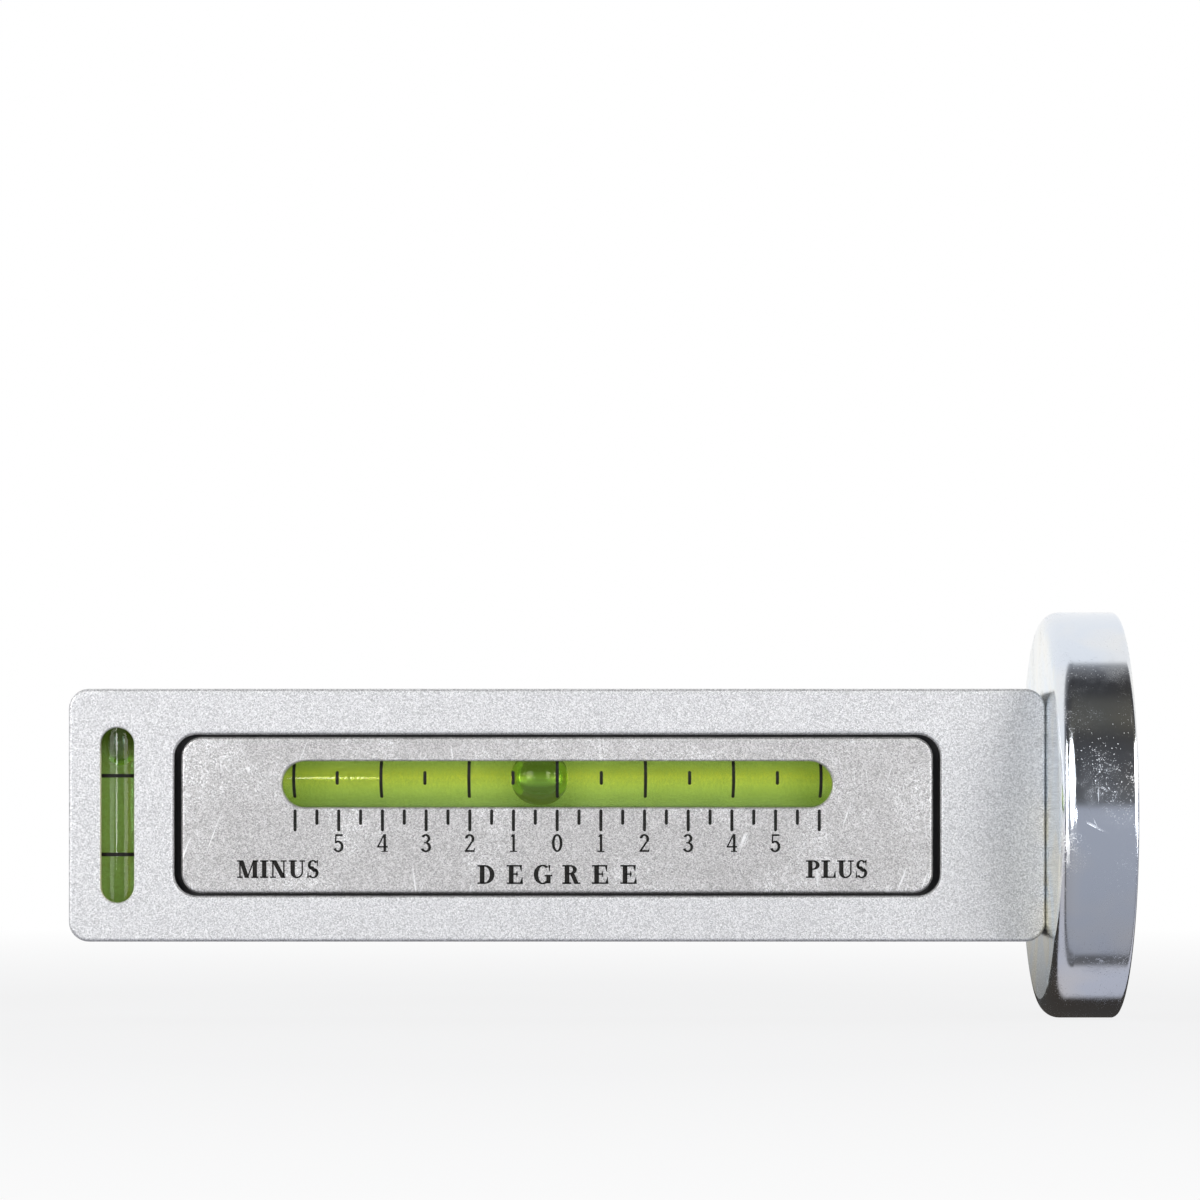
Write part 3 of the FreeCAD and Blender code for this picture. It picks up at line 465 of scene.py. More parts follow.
# Materials
class Paint:
    """A node material. Object coordinates are metres on the piece itself."""

    def __init__(self, name):
        self.material = bpy.data.materials.new(name)
        self.material.use_nodes = True
        self.tree = self.material.node_tree
        self.tree.nodes.clear()
        self.output = self.add("ShaderNodeOutputMaterial")
        self.place = self.add("ShaderNodeTexCoord").outputs["Object"]
        self.x, self.y, self.z = self.add("ShaderNodeSeparateXYZ", {0: self.place}).outputs

    def add(self, kind, inputs=None, **settings):
        node = self.tree.nodes.new(kind)
        for key, value in settings.items():
            setattr(node, key, value)
        for key, value in (inputs or {}).items():
            socket = node.inputs[key]
            if isinstance(value, bpy.types.NodeSocket):
                self.tree.links.new(value, socket)
            else:
                socket.default_value = value
        return node

    def noise(self, scale, detail=2.0, roughness=0.5, distortion=0.0, stretch=(1, 1, 1), turn=(0, 0, 0)):
        inputs = {"Vector": self.place, "Scale": stretch, "Rotation": turn}
        mapping = self.add("ShaderNodeMapping", inputs, vector_type="TEXTURE")
        inputs = {"Vector": mapping.outputs[0], "Scale": scale, "Detail": detail, "Roughness": roughness}
        inputs["Distortion"] = distortion
        return self.add("ShaderNodeTexNoise", inputs).outputs["Fac"]

    def cells(self, scale):
        """The distance to the middle of the nearest grain, and a random number for each grain."""
        grains = self.add("ShaderNodeTexVoronoi", {"Vector": self.place, "Scale": scale})
        number = self.add("ShaderNodeSeparateColor", {0: grains.outputs["Color"]}).outputs[0]
        return grains.outputs["Distance"], number

    def between(self, value, low, high, to_low=0.0, to_high=1.0):
        inputs = {0: value, 1: low, 2: high, 3: to_low, 4: to_high}
        return self.add("ShaderNodeMapRange", inputs, clamp=True).outputs[0]

    def calc(self, operation, first, second=0.0):
        return self.add("ShaderNodeMath", {0: first, 1: second}, operation=operation).outputs[0]

    def near(self, value, middle, reach, soft):
        """1 where a value is within reach of its middle, falling to 0 over the soft distance."""
        off = self.calc("ABSOLUTE", self.calc("SUBTRACT", value, middle))
        return self.between(off, reach, reach + soft, 1, 0)

    def mix(self, share, first, second):
        return self.add("ShaderNodeMix", {"Factor": share, 6: first, 7: second}, data_type="RGBA").outputs[2]

    def bump(self, height, distance, strength=1.0, normal=None):
        inputs = {"Height": height, "Distance": distance, "Strength": strength}
        if normal is not None:
            inputs["Normal"] = normal
        return self.add("ShaderNodeBump", inputs).outputs[0]

    def scratches(self, scale, turn, where, stretch=(30, 1, 1)):
        """Fine broken lines along the stretched direction: 1 on a line, 0 off it."""
        field = self.noise(scale, 2.0, 0.5, stretch=stretch, turn=(0, turn, 0))
        return self.calc("MULTIPLY", self.between(field, 0.68, 0.73), where)

    def surface(self, **inputs):
        names = {key.replace("_", " "): value for key, value in inputs.items()}
        shader = self.add("ShaderNodeBsdfPrincipled", names)
        self.tree.links.new(shader.outputs[0], self.output.inputs["Surface"])
        return self.material


def grey(value):
    return (value, value, value, 1)


def blast_grain(paint, dark, light):
    """Bead-blasted grain: tiny facets that each catch the light differently."""
    distance, number = paint.cells(6200)
    soft = paint.noise(4200, 3, 0.6)
    tone = paint.calc("ADD", paint.calc("MULTIPLY", number, 0.7), paint.between(soft, 0.3, 0.7, 0, 0.3))
    return paint.mix(tone, dark, light), paint.calc("ADD", distance, soft)


def outline_distance(paint, low, high, radius):
    """How far a point lies outside a rounded rectangle seen from the front, negative when inside."""
    reach = []
    for value, axis in ((paint.x, 0), (paint.z, 2)):
        off = paint.calc("ABSOLUTE", paint.calc("SUBTRACT", value, (low[axis] + high[axis]) / 2))
        reach.append(paint.calc("SUBTRACT", off, (high[axis] - low[axis]) / 2 - radius))
    squares = [paint.calc("POWER", paint.calc("MAXIMUM", value, 0.0), 2.0) for value in reach]
    outside = paint.calc("SQRT", paint.calc("ADD", *squares))
    inside = paint.calc("MINIMUM", paint.calc("MAXIMUM", *reach), 0.0)
    return paint.calc("SUBTRACT", paint.calc("ADD", outside, inside), radius)


def worn_edge(paint, distance, side):
    """Falls away towards an outline, on its outer side for 1 and on its inner side for -1."""
    share = paint.between(distance, 0, side * WORN_EDGE, 1, 0)
    return paint.calc("MULTIPLY", paint.calc("POWER", share, 2.0), -1.0)


def inner_mask(paint):
    """Painted shade: 1 on walls that lie deeper than the outside, in pockets and holes, and 0 on the outside."""
    start = BAR_FACE - RECESS_SHADE_DEPTH
    inner = paint.between(paint.calc("ABSOLUTE", paint.y), start, start - RECESS_SHADE_SOFT, 0, 1)
    for value, axis in ((paint.z, 2), (paint.x, 0)):
        low, high = (corner[axis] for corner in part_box("body_block"))
        side = paint.near(value, (low + high) / 2, (high - low) / 2 - OUTER_SKIN, OUTER_SKIN_SOFT)
        inner = paint.calc("MULTIPLY", inner, side)
    return inner


def behind_vial(paint):
    """Painted light: 1 in the pale strips of the channels behind the two bent vials, and less beside them, down to
    painted shade.
    """
    low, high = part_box("camber_vial_tube")
    half = (high.x - low.x) / 2 + STRIP_PAST_VIAL
    along = paint.near(paint.x, (low.x + high.x) / 2, half, STRIP_END_SOFT)
    side = paint.calc("ABSOLUTE", paint.z)
    strip = paint.near(side, (low.z + high.z) / 2 - STRIP_DROP, STRIP_HALF, STRIP_SOFT)
    inner = paint.between(strip, 0, 1, STRIP_SHADE, 1)
    across = paint.near(paint.z, 0, high.z, STRIP_BESIDE_VIAL)
    return paint.calc("MULTIPLY", along, paint.calc("MULTIPLY", inner, across))


def bar_aluminium():
    """Blasted outside, with edges worn round, painted shade on the walls inside, and painted light making them
    pale where the vials lie.
    """
    paint = Paint("bar_aluminium")
    outside, height = blast_grain(paint, (0.37, 0.37, 0.379, 1), (0.98, 0.98, 0.985, 1))
    # Painted light behind the bent vials, made uneven, and painted shade on the rest of the inner walls
    uneven = paint.between(paint.noise(45, 1), 0.35, 0.6, 0.9, 1)
    strip = paint.calc("MULTIPLY", behind_vial(paint), uneven)
    painted_wall_light_and_shade = paint.mix(strip, grey(0.05), (1.0, 1.0, 0.98, 1))
    # Painted light on the wall behind the cross level, a pale yellow tone and a lit line, with painted shade
    # behind the bubble
    level_low, level_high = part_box("level_vial_tube")
    bored = paint.calc("LESS_THAN", paint.x, level_high.x + LEVEL_WALL_PAST_VIAL)
    painted_lit_line = paint.near(paint.x, (level_low.x + level_high.x) / 2 + LEVEL_LIT_OFFSET, *LEVEL_LIT_REACH)
    level_wall = paint.mix(painted_lit_line, LEVEL_WALL_PAINTED_LIGHT, LEVEL_PAINTED_LIT)
    shade_behind_bubble = paint.between(paint.z, LEVEL_SHADE_FROM, LEVEL_SHADE_TO)
    level_wall = paint.mix(shade_behind_bubble, level_wall, grey(0.05))
    painted_wall_light_and_shade = paint.mix(bored, painted_wall_light_and_shade, level_wall)
    # Walls inside pockets and holes take the painted light and shade instead of the blasted grain
    inner = inner_mask(paint)
    colour = paint.mix(inner, outside, painted_wall_light_and_shade)
    metal = paint.between(inner, 0, 1, 0.6, 0.0)
    roughness = paint.between(paint.noise(300, 3), 0.3, 0.7, 0.46, 0.56)
    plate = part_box("camber_scale_plate")
    margin = Vector((PLATE_END_GAP, 0, PLATE_SIDE_GAP))
    pocket = outline_distance(paint, plate[0] - margin, plate[1] + margin, PLATE_CORNER + PLATE_SIDE_GAP)
    bar_outline = outline_distance(paint, *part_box("body_block"), BAR_CORNER)
    edges = paint.calc("ADD", worn_edge(paint, pocket, 1), worn_edge(paint, bar_outline, -1))
    normal = paint.bump(height, GRAIN_DEPTH, 0.5, paint.bump(edges, WORN_DEPTH))
    return paint.surface(Base_Color=colour, Metallic=metal, Roughness=roughness, Normal=normal)


def plate_aluminium():
    """As the bar, with rubbed frosty patches and fine scratches, which are wear painted white as glints, and
    painted shade on the walls around its outline.
    """
    paint = Paint("plate_aluminium")
    outside, height = blast_grain(paint, (0.24, 0.235, 0.232, 1), (0.79, 0.776, 0.77, 1))
    # Rubbed patches and scratches are wear, and their white is a painted glint
    patches = paint.between(paint.noise(70, 4, 0.6), 0.46, 0.62)
    fibres = paint.between(paint.noise(2000, 3, 0.65, 2.0), 0.5, 0.62)
    rubbed_glint = paint.calc("MULTIPLY", paint.between(patches, 0, 1, 0.1, 1), fibres)
    marks = paint.between(paint.noise(110, 2), 0.5, 0.6)
    lines = paint.calc("MAXIMUM", paint.scratches(1500, 1.45, marks), paint.scratches(1700, -1.2, marks))
    glinting_wear = paint.calc("MAXIMUM", rubbed_glint, paint.calc("MULTIPLY", lines, 0.7))
    outside = paint.mix(glinting_wear, outside, (1.0, 1.0, 1.0, 1))
    low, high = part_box("camber_scale_plate")
    half = (high.x - low.x) / 2 - PLATE_RIM
    middle = paint.near(paint.x, (low.x + high.x) / 2, half, PLATE_RIM_SOFT)
    middle = paint.calc("MULTIPLY", middle, paint.near(paint.z, 0, high.z - PLATE_RIM, PLATE_RIM_SOFT))
    side = paint.calc("ABSOLUTE", paint.y)
    deep = paint.between(side, PLATE_FACE - PLATE_RIM_FROM, PLATE_FACE - PLATE_RIM_TO, 0, 1)
    # Painted shade on the walls round the plate's outline
    side_wall_shade = paint.calc("MULTIPLY", deep, paint.calc("SUBTRACT", 1.0, middle))
    colour = paint.mix(side_wall_shade, outside, grey(0.06))
    metal = paint.between(side_wall_shade, 0, 1, 0.6, 0.0)
    roughness = paint.between(glinting_wear, 0, 1, 0.5, 0.34)
    depth = paint.calc("SUBTRACT", height, paint.calc("MULTIPLY", lines, 0.5))
    edge = worn_edge(paint, outline_distance(paint, low, high, PLATE_CORNER), -1)
    normal = paint.bump(depth, GRAIN_DEPTH, 0.55, paint.bump(edge, WORN_DEPTH))
    return paint.surface(Base_Color=colour, Metallic=metal, Roughness=roughness, Normal=normal)


def zinc_plate():
    """Bright zinc on drawn steel: clear, a little blue and yellow in patches, rubbed and speckled."""
    paint = Paint("zinc_plate")
    patch = paint.between(paint.noise(38, 3, 0.6), 0.4, 0.6)
    clear = paint.mix(patch, (0.73, 0.775, 0.84, 1), (0.85, 0.835, 0.80, 1))
    film = paint.between(paint.noise(70, 2, 0.5, 1.5), 0.4, 0.6)
    stained = paint.mix(film, (0.62, 0.80, 0.92, 1), (0.92, 0.88, 0.6, 1))
    back = paint.between(paint.x, CUP_BACK, CUP_BACK + STAIN_DEPTH, 0.5, 0.0)
    stain = paint.calc("MULTIPLY", back, paint.between(paint.z, STAIN_FROM, STAIN_TO, 1.0, 0.3))
    colour = paint.mix(stain, clear, stained)
    haze = paint.between(paint.noise(170, 5, 0.7), 0.5, 0.72)
    dust = paint.between(paint.noise(3400, 3, 0.6), 0.56, 0.68)
    dust = paint.calc("MULTIPLY", dust, paint.between(paint.noise(90, 3), 0.4, 0.6))
    distance, number = paint.cells(3000)
    speck = paint.between(distance, 0.34, 0.2, 0, 1)
    speck = paint.calc("MULTIPLY", speck, paint.between(number, 0.8, 0.82, 0, 0.8))
    speck = paint.calc("MULTIPLY", speck, paint.between(paint.noise(140, 2), 0.42, 0.55))
    where = paint.between(paint.noise(120, 3), 0.5, 0.6)
    around = paint.scratches(1500, 0, where, (1, 30, 30))
    across = paint.calc("MAXIMUM", paint.scratches(1300, 1.2, where), paint.scratches(1500, 0.5, where))
    marks = paint.calc("MAXIMUM", speck, paint.calc("MAXIMUM", around, across))
    dull = paint.calc("MAXIMUM", marks, dust)
    roughness = paint.calc("ADD", paint.between(haze, 0, 1, 0.1, 0.25), paint.calc("MULTIPLY", dull, 0.3))
    ripple = paint.bump(paint.noise(130, 2), RIPPLE_DEPTH, 0.5)
    height = paint.calc("SUBTRACT", paint.calc("MULTIPLY", dust, 0.3), marks)
    normal = paint.bump(height, SCRATCH_DEPTH, 1.0, ripple)
    return paint.surface(Base_Color=colour, Metallic=1.0, Roughness=roughness, Normal=normal)


def turned_metal(name, dark, light, low, high):
    """Machined metal with fine turning lines and a little staining."""
    paint = Paint(name)
    lines = paint.noise(2600, 2, 0.5, stretch=(1, 20, 1))
    stain = paint.noise(500, 4, 0.6)
    colour = paint.mix(paint.between(stain, 0.35, 0.7), dark, light)
    roughness = paint.between(lines, 0.3, 0.7, low, high)
    normal = paint.bump(lines, TURNING_DEPTH, 0.6)
    return paint.surface(Base_Color=colour, Metallic=1.0, Roughness=roughness, Normal=normal)


def cast_finish(name, dark, light, low, high, scale, depth):
    """Moulded, pressed or cast matter: mottled, with fine pits."""
    paint = Paint(name)
    mottle = paint.noise(scale, 5, 0.65)
    pits = paint.between(paint.cells(scale * 2.5)[0], 0.22, 0.13, 0, 1)
    colour = paint.mix(paint.between(mottle, 0.35, 0.68), dark, light)
    roughness = paint.between(mottle, 0.3, 0.7, low, high)
    normal = paint.bump(paint.calc("SUBTRACT", mottle, pits), depth, 0.7)
    return paint.surface(Base_Color=colour, Roughness=roughness, Normal=normal)


def clear_matter(name, refraction, shade=(1, 1, 1, 1), shine=1.0):
    """Clear matter with the faint rubbing of a moulded surface."""
    paint = Paint(name)
    rub = paint.noise(900, 4, 0.6)
    colour = paint.mix(rub, [0.98 * part for part in shade[:3]] + [1], shade)
    roughness = paint.between(rub, 0.35, 0.75, 0, 0.02)
    matter = {"Transmission_Weight": 1.0, "IOR": refraction, "Specular_Tint": grey(shine)}
    return paint.surface(Base_Color=colour, Roughness=roughness, **matter)


def vial_liquid(name, painted_glow_strength, painted_yellow_share, painted_light_share):
    """Green, with painted light and shade: yellow where the yellow share is 1, darker where the light share is 0,
    a glow, and grain standing for the blasted channel seen through it.

    The liquid itself doesn't bend the light: the wet bore of its tube does that.
    """
    paint = Paint(name)
    # Painted reflection of the blasted channel behind, as grain in the tint
    painted_channel_grain = paint.between(paint.noise(2800, 3, 0.75), 0.42, 0.6, 0.45, 0)
    # Painted light: yellow or green by where the light falls
    colour = paint.mix(painted_yellow_share(paint), LIQUID_GREEN, LIQUID_YELLOW)
    # Painted shade: darker away from where the painted light lies
    colour = paint.mix(painted_light_share(paint), LIQUID_PAINTED_SHADE, colour)
    colour = paint.mix(painted_channel_grain, colour, LIQUID_PAINTED_CHANNEL_GRAIN)
    # Painted light: a glow, though the liquid is no lamp
    painted_glow = {"Emission_Color": LIQUID_PAINTED_GLOW, "Emission_Strength": painted_glow_strength}
    paint.surface(Base_Color=colour, Roughness=0.0, Transmission_Weight=1.0, IOR=1.0, **painted_glow)
    inside = paint.add("ShaderNodeVolumeAbsorption", {"Color": LIQUID_TINT, "Density": LIQUID_DENSITY})
    paint.tree.links.new(inside.outputs[0], paint.output.inputs["Volume"])
    return paint.material


def ink():
    paint = Paint("scale_ink")
    wear = paint.noise(2600, 4, 0.7)
    colour = paint.mix(paint.between(wear, 0.5, 0.75), (0.012, 0.011, 0.01, 1), (0.045, 0.043, 0.041, 1))
    roughness = paint.between(wear, 0.3, 0.7, 0.5, 0.7)
    return paint.surface(Base_Color=colour, Roughness=roughness, Specular_IOR_Level=0.15)


MATERIALS = {
    "bar_aluminium": bar_aluminium(),
    "plate_aluminium": plate_aluminium(),
    "zinc_steel": zinc_plate(),
    "screw_steel": turned_metal("screw_steel", grey(0.42), grey(0.66), 0.2, 0.36),
    "spring_steel": turned_metal("spring_steel", grey(0.3), grey(0.46), 0.22, 0.4),
    "adjust_brass": turned_metal("adjust_brass", (0.6, 0.42, 0.14, 1), (0.83, 0.63, 0.28, 1), 0.18, 0.36),
    "vial_plug": cast_finish("vial_plug", grey(0.62), (0.78, 0.79, 0.74, 1), 0.35, 0.5, 1200, FINE_PITS),
    "rubber_pad": cast_finish("rubber_pad", grey(0.012), grey(0.03), 0.6, 0.8, 1600, PLAIN_PITS),
    "black_cap": cast_finish("black_cap", grey(0.014), grey(0.03), 0.35, 0.5, 1800, FINE_PITS),
    "ferrite": cast_finish("ferrite", grey(0.035), grey(0.085), 0.42, 0.62, 900, PLAIN_PITS),
    "potting_resin": cast_finish(
        "potting_resin", (0.014, 0.012, 0.01, 1), grey(0.03), 0.25, 0.45, 500, DEEP_PITS,
    ),
}
ACRYLIC = clear_matter("vial_acrylic", REFRACTION_ACRYLIC, shine=0.35)
WET_BORE = clear_matter("vial_wet_bore", REFRACTION_ACRYLIC / REFRACTION_LIQUID)
# The bubbles' tints are painted shade
BUBBLE = clear_matter("vial_bubble", 1 / REFRACTION_LIQUID, BUBBLE_PAINTED_SHADE)
LEVEL_BUBBLE = clear_matter("level_bubble", 1 / REFRACTION_LIQUID, LEVEL_BUBBLE_PAINTED_SHADE)
INK = ink()

for name, node in frame["nodes"].items():
    if slots[name] in MATERIALS:
        node.data.materials.clear()
        node.data.materials.append(MATERIALS[slots[name]])


# Bent vials. The camber vial's bend gives the path of both.
joints = {joint["name"]: joint for joint in frame["joints"]}
BEND_CENTRE = Vector(joints["camber_bubble_travel"]["pos_m"])


def low_high(node, axis):
    low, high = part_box(node)
    return low[axis], high[axis]


def half_height(node):
    low, high = low_high(node, 2)
    return (high - low) / 2


VIAL_RADIUS = half_height("camber_vial_tube")
VIAL_BORE_RADIUS = half_height("camber_vial_plugs")
LIQUID_RADIUS = half_height("camber_vial_liquid")
BUBBLE_RADIUS = half_height("camber_vial_bubble")
BEND_RADIUS = BEND_CENTRE.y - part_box("camber_vial_tube")[0].y - VIAL_RADIUS
TRAVEL_PER_DEGREE = math.radians(1) * BEND_RADIUS


def bend_path(along):
    angle = along / BEND_RADIUS
    out = Vector((math.sin(angle), -math.cos(angle), 0))
    return BEND_CENTRE + out * BEND_RADIUS, out, Vector((0, 0, 1))


def bent_half_length(node, radius):
    """Half the length along the bend of a node that is as wide as its two outer ends."""
    low, high = low_high(node, 0)
    return math.asin((high - low) / 2 / (BEND_RADIUS + radius)) * BEND_RADIUS


VIAL_HALF = bent_half_length("camber_vial_tube", VIAL_RADIUS)
LIQUID_HALF = bent_half_length("camber_vial_liquid", LIQUID_RADIUS)


def tube_profile(half, outer, inner_at):
    """The closed section of a tube, first out along its wall and then back along its bore."""
    stations = evenly(-half, half, STEPS_ALONG)
    return [(s, outer) for s in stations] + [(s, inner_at(s)) for s in reversed(stations)]


def wet_bore(number):
    """Material 1 for the faces of the bore, after those of the wall and one end."""
    return 1 if STEPS_ALONG < number < 2 * STEPS_ALONG + 1 else 0


def column_profile(half, radius_at):
    """A closed column with flat ends."""
    stations = evenly(-half, half, STEPS_ALONG)
    return [(-half, 0)] + [(s, radius_at(s)) for s in stations] + [(half, 0)]


def bubble_profile(middle, half, radius):
    """Blunter than an egg: the bubble's skin is drawn round by the liquid and flattened by its tube."""
    profile = []
    for turn in evenly(0, math.pi, STEPS_BUBBLE):
        share = -math.cos(turn)
        height = (1 - abs(share) ** BUBBLE_BLUNTNESS) ** 0.5 if 0 < turn < math.pi else 0
        profile.append((middle + half * share, radius * height))
    profile[0] = (middle - half, 0)
    profile[-1] = (middle + half, 0)
    return profile


def bent_vial(side, body, bubble_body, turn, mark_pitch, mark_limit):
    """The tube, liquid, bubble and marks of one vial, with mark_limit marks on either side of zero."""
    upward = turn[2][2]
    # Painted light and shade on the liquid by height: yellow above the middle, green below it, and darker away
    # from the lit middle
    green_end = (BEND_CENTRE.z - LIQUID_GREEN_DROP) * upward
    yellow_end = (BEND_CENTRE.z + LIQUID_YELLOW_RISE) * upward
    painted_light_middle = (BEND_CENTRE.z - LIQUID_PAINTED_LIGHT_DROP) * upward
    liquid_matter = vial_liquid(
        side + "_liquid", LIQUID_PAINTED_GLOW_STRENGTH,
        lambda paint: paint.between(paint.z, green_end, yellow_end),
        lambda paint: paint.near(paint.z, painted_light_middle, *LIQUID_PAINTED_LIGHT_REACH),
    )
    section = tube_profile(VIAL_HALF, VIAL_RADIUS, lambda s: VIAL_BORE_RADIUS)
    tube = revolved(side + "_vial_glass", section, bend_path, [ACRYLIC, WET_BORE], True, wet_bore)
    settle(tube, body, turn, side + "_vial_tube")
    column = column_profile(LIQUID_HALF, lambda s: LIQUID_RADIUS)
    liquid = revolved(side + "_vial_fill", column, bend_path, [liquid_matter])
    settle(liquid, body, turn, side + "_vial_liquid")
    low, high = low_high(side + "_vial_bubble", 0)
    middle = math.asin(((low + high) / 2 - BEND_CENTRE.x) / BEND_RADIUS) * BEND_RADIUS
    profile = bubble_profile(middle, (high - low) / 2, BUBBLE_RADIUS)
    bubble = revolved(side + "_vial_air", profile, bend_path, [BUBBLE])
    settle(bubble, bubble_body, turn, side + "_vial_bubble")

    def lay_on_vial(u, v, lift):
        centre, out, up = bend_path(u)
        angle = v / VIAL_RADIUS
        return centre + (out * math.cos(angle) + up * math.sin(angle)) * (VIAL_RADIUS + lift)

    bm = bmesh.new()
    for count in range(-mark_limit, mark_limit + 1):
        reach = (SHORT_MARK if count % 2 else LONG_MARK) / 2
        arc = VIAL_RADIUS * math.asin(reach / VIAL_RADIUS)
        add_round_ended(bm, count * mark_pitch, -arc, arc, MARK_WIDTH, lay_on_vial)
    settle(finish_mesh(side + "_vial_marks", bm, [INK]), body, turn)


CASTER_DEGREE = TRAVEL_PER_DEGREE / CASTER_DEGREES_PER_TILT
bent_vial("camber", "housing", "camber_bubble", AS_DRAWN, TRAVEL_PER_DEGREE, CAMBER_MARKS)
bent_vial("caster", "carrier", "caster_bubble", TURN_OVER, 2 * CASTER_DEGREE, CASTER_MARKS)


# Cross level: a straight tube whose bore swells to the middle
LEVEL_LOW, LEVEL_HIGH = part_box("level_vial_tube")
LEVEL_CENTRE = (LEVEL_LOW + LEVEL_HIGH) / 2
LEVEL_HALF = (LEVEL_HIGH.z - LEVEL_LOW.z) / 2
LEVEL_RADIUS = (LEVEL_HIGH.x - LEVEL_LOW.x) / 2


def half_width(node):
    low, high = low_high(node, 0)
    return (high - low) / 2


LEVEL_LIQUID_HALF = half_height("level_vial_liquid")
LEVEL_LIQUID_RADIUS = half_width("level_vial_liquid")
LEVEL_END_RADIUS = half_width("level_vial_plugs")
LEVEL_BORE_GAP = VIAL_BORE_RADIUS - LIQUID_RADIUS
LEVEL_MIDDLE_RADIUS = LEVEL_LIQUID_RADIUS + LEVEL_BORE_GAP


def level_path(along):
    return LEVEL_CENTRE + Vector((0, 0, along)), Vector((0, -1, 0)), Vector((1, 0, 0))


def level_bore(along):
    share = min(1, abs(along) / LEVEL_LIQUID_HALF)
    return LEVEL_MIDDLE_RADIUS - (LEVEL_MIDDLE_RADIUS - LEVEL_END_RADIUS) * share ** 2


def cross_level():
    section = tube_profile(LEVEL_HALF, LEVEL_RADIUS, level_bore)
    tube = revolved("level_vial_glass", section, level_path, [ACRYLIC, WET_BORE], True, wet_bore)
    settle(tube, "housing", AS_DRAWN, "level_vial_tube")
    # Painted light: a yellow band along the level's liquid, and painted shade towards its sides
    band = LEVEL_CENTRE.x + LEVEL_BAND_OFFSET
    liquid_matter = vial_liquid(
        "level_liquid", LEVEL_PAINTED_GLOW_STRENGTH,
        lambda paint: paint.near(paint.x, band, *LEVEL_BAND_REACH),
        lambda paint: paint.near(paint.x, LEVEL_CENTRE.x, LEVEL_RADIUS / 2, LEVEL_RADIUS),
    )
    column = column_profile(LEVEL_LIQUID_HALF, lambda s: level_bore(s) - LEVEL_BORE_GAP)
    liquid = revolved("level_vial_fill", column, level_path, [liquid_matter])
    settle(liquid, "housing", AS_DRAWN, "level_vial_liquid")
    low, high = low_high("level_vial_bubble", 2)
    profile = bubble_profile((low + high) / 2, (high - low) / 2, half_width("level_vial_bubble"))
    bubble = revolved("level_vial_air", profile, level_path, [LEVEL_BUBBLE])
    settle(bubble, "level_bubble", AS_DRAWN, "level_vial_bubble")
    inner = LEVEL_RADIUS + INK_LIFT
    outer = LEVEL_RADIUS + INK_TOP
    for name, offset in (("level_upper_ring", RING_OFFSET), ("level_lower_ring", -RING_OFFSET)):
        low = offset - RING_WIDTH / 2
        high = offset + RING_WIDTH / 2
        section = [(low, inner), (low, outer), (high, outer), (high, inner)]
        settle(revolved(name, section, level_path, [INK], True), "housing", AS_DRAWN)


cross_level()


# Spring under the carrier: one wire, drawn at one length and fixed in place; the real one shortens and lengthens
# with the carrier's tilt
SPRING_LOW, SPRING_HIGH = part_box("caster_spring")
SPRING_CENTRE = (SPRING_LOW + SPRING_HIGH) / 2
SPRING_RADIUS = (SPRING_HIGH.x - SPRING_LOW.x - SPRING_WIRE) / 2
SPRING_FIRST = SPRING_HIGH.y - SPRING_WIRE / 2
SPRING_PITCH = (SPRING_LOW.y + SPRING_WIRE / 2 - SPRING_FIRST) / SPRING_TURNS


def spring_path(turns):
    """The end turns lie closer than the middle ones, which the tilt presses together most."""
    angle = 2 * math.pi * turns
    share = 2 * math.pi * turns / SPRING_TURNS
    out = Vector((math.cos(angle), 0, math.sin(angle)))
    climb = SPRING_PITCH * (1 - SPRING_OPENING * math.cos(share)) / (2 * math.pi * SPRING_RADIUS)
    along = Vector((-math.sin(angle), climb, math.cos(angle))).normalized()
    opened = turns - SPRING_TURNS * SPRING_OPENING * math.sin(share) / (2 * math.pi)
    height = SPRING_FIRST + SPRING_PITCH * opened
    middle = Vector((SPRING_CENTRE.x, height, SPRING_CENTRE.z))
    return middle + out * SPRING_RADIUS, out, along.cross(out)


def caster_spring():
    stations = evenly(0, SPRING_TURNS, STEPS_SPRING_TURN * SPRING_TURNS)
    profile = [(0, 0)] + [(turns, SPRING_WIRE / 2) for turns in stations] + [(SPRING_TURNS, 0)]
    steel = [MATERIALS["spring_steel"]]
    spring = revolved("caster_spring_wire", profile, spring_path, steel, steps=STEPS_SPRING_ROUND)
    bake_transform(spring)
    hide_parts("caster_spring")


caster_spring()


# Scales on the plates
PLATE_LOW, PLATE_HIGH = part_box("camber_scale_plate")
PLATE_MIDDLE = (PLATE_LOW.x + PLATE_HIGH.x) / 2


def lay_on_plate(u, v, lift):
    """u is measured from the plate's middle, and v down from the window's lower edge is negative."""
    return Vector((PLATE_MIDDLE + u, PLATE_LOW.y - lift, BEND_CENTRE.z - WINDOW_EDGE + v))


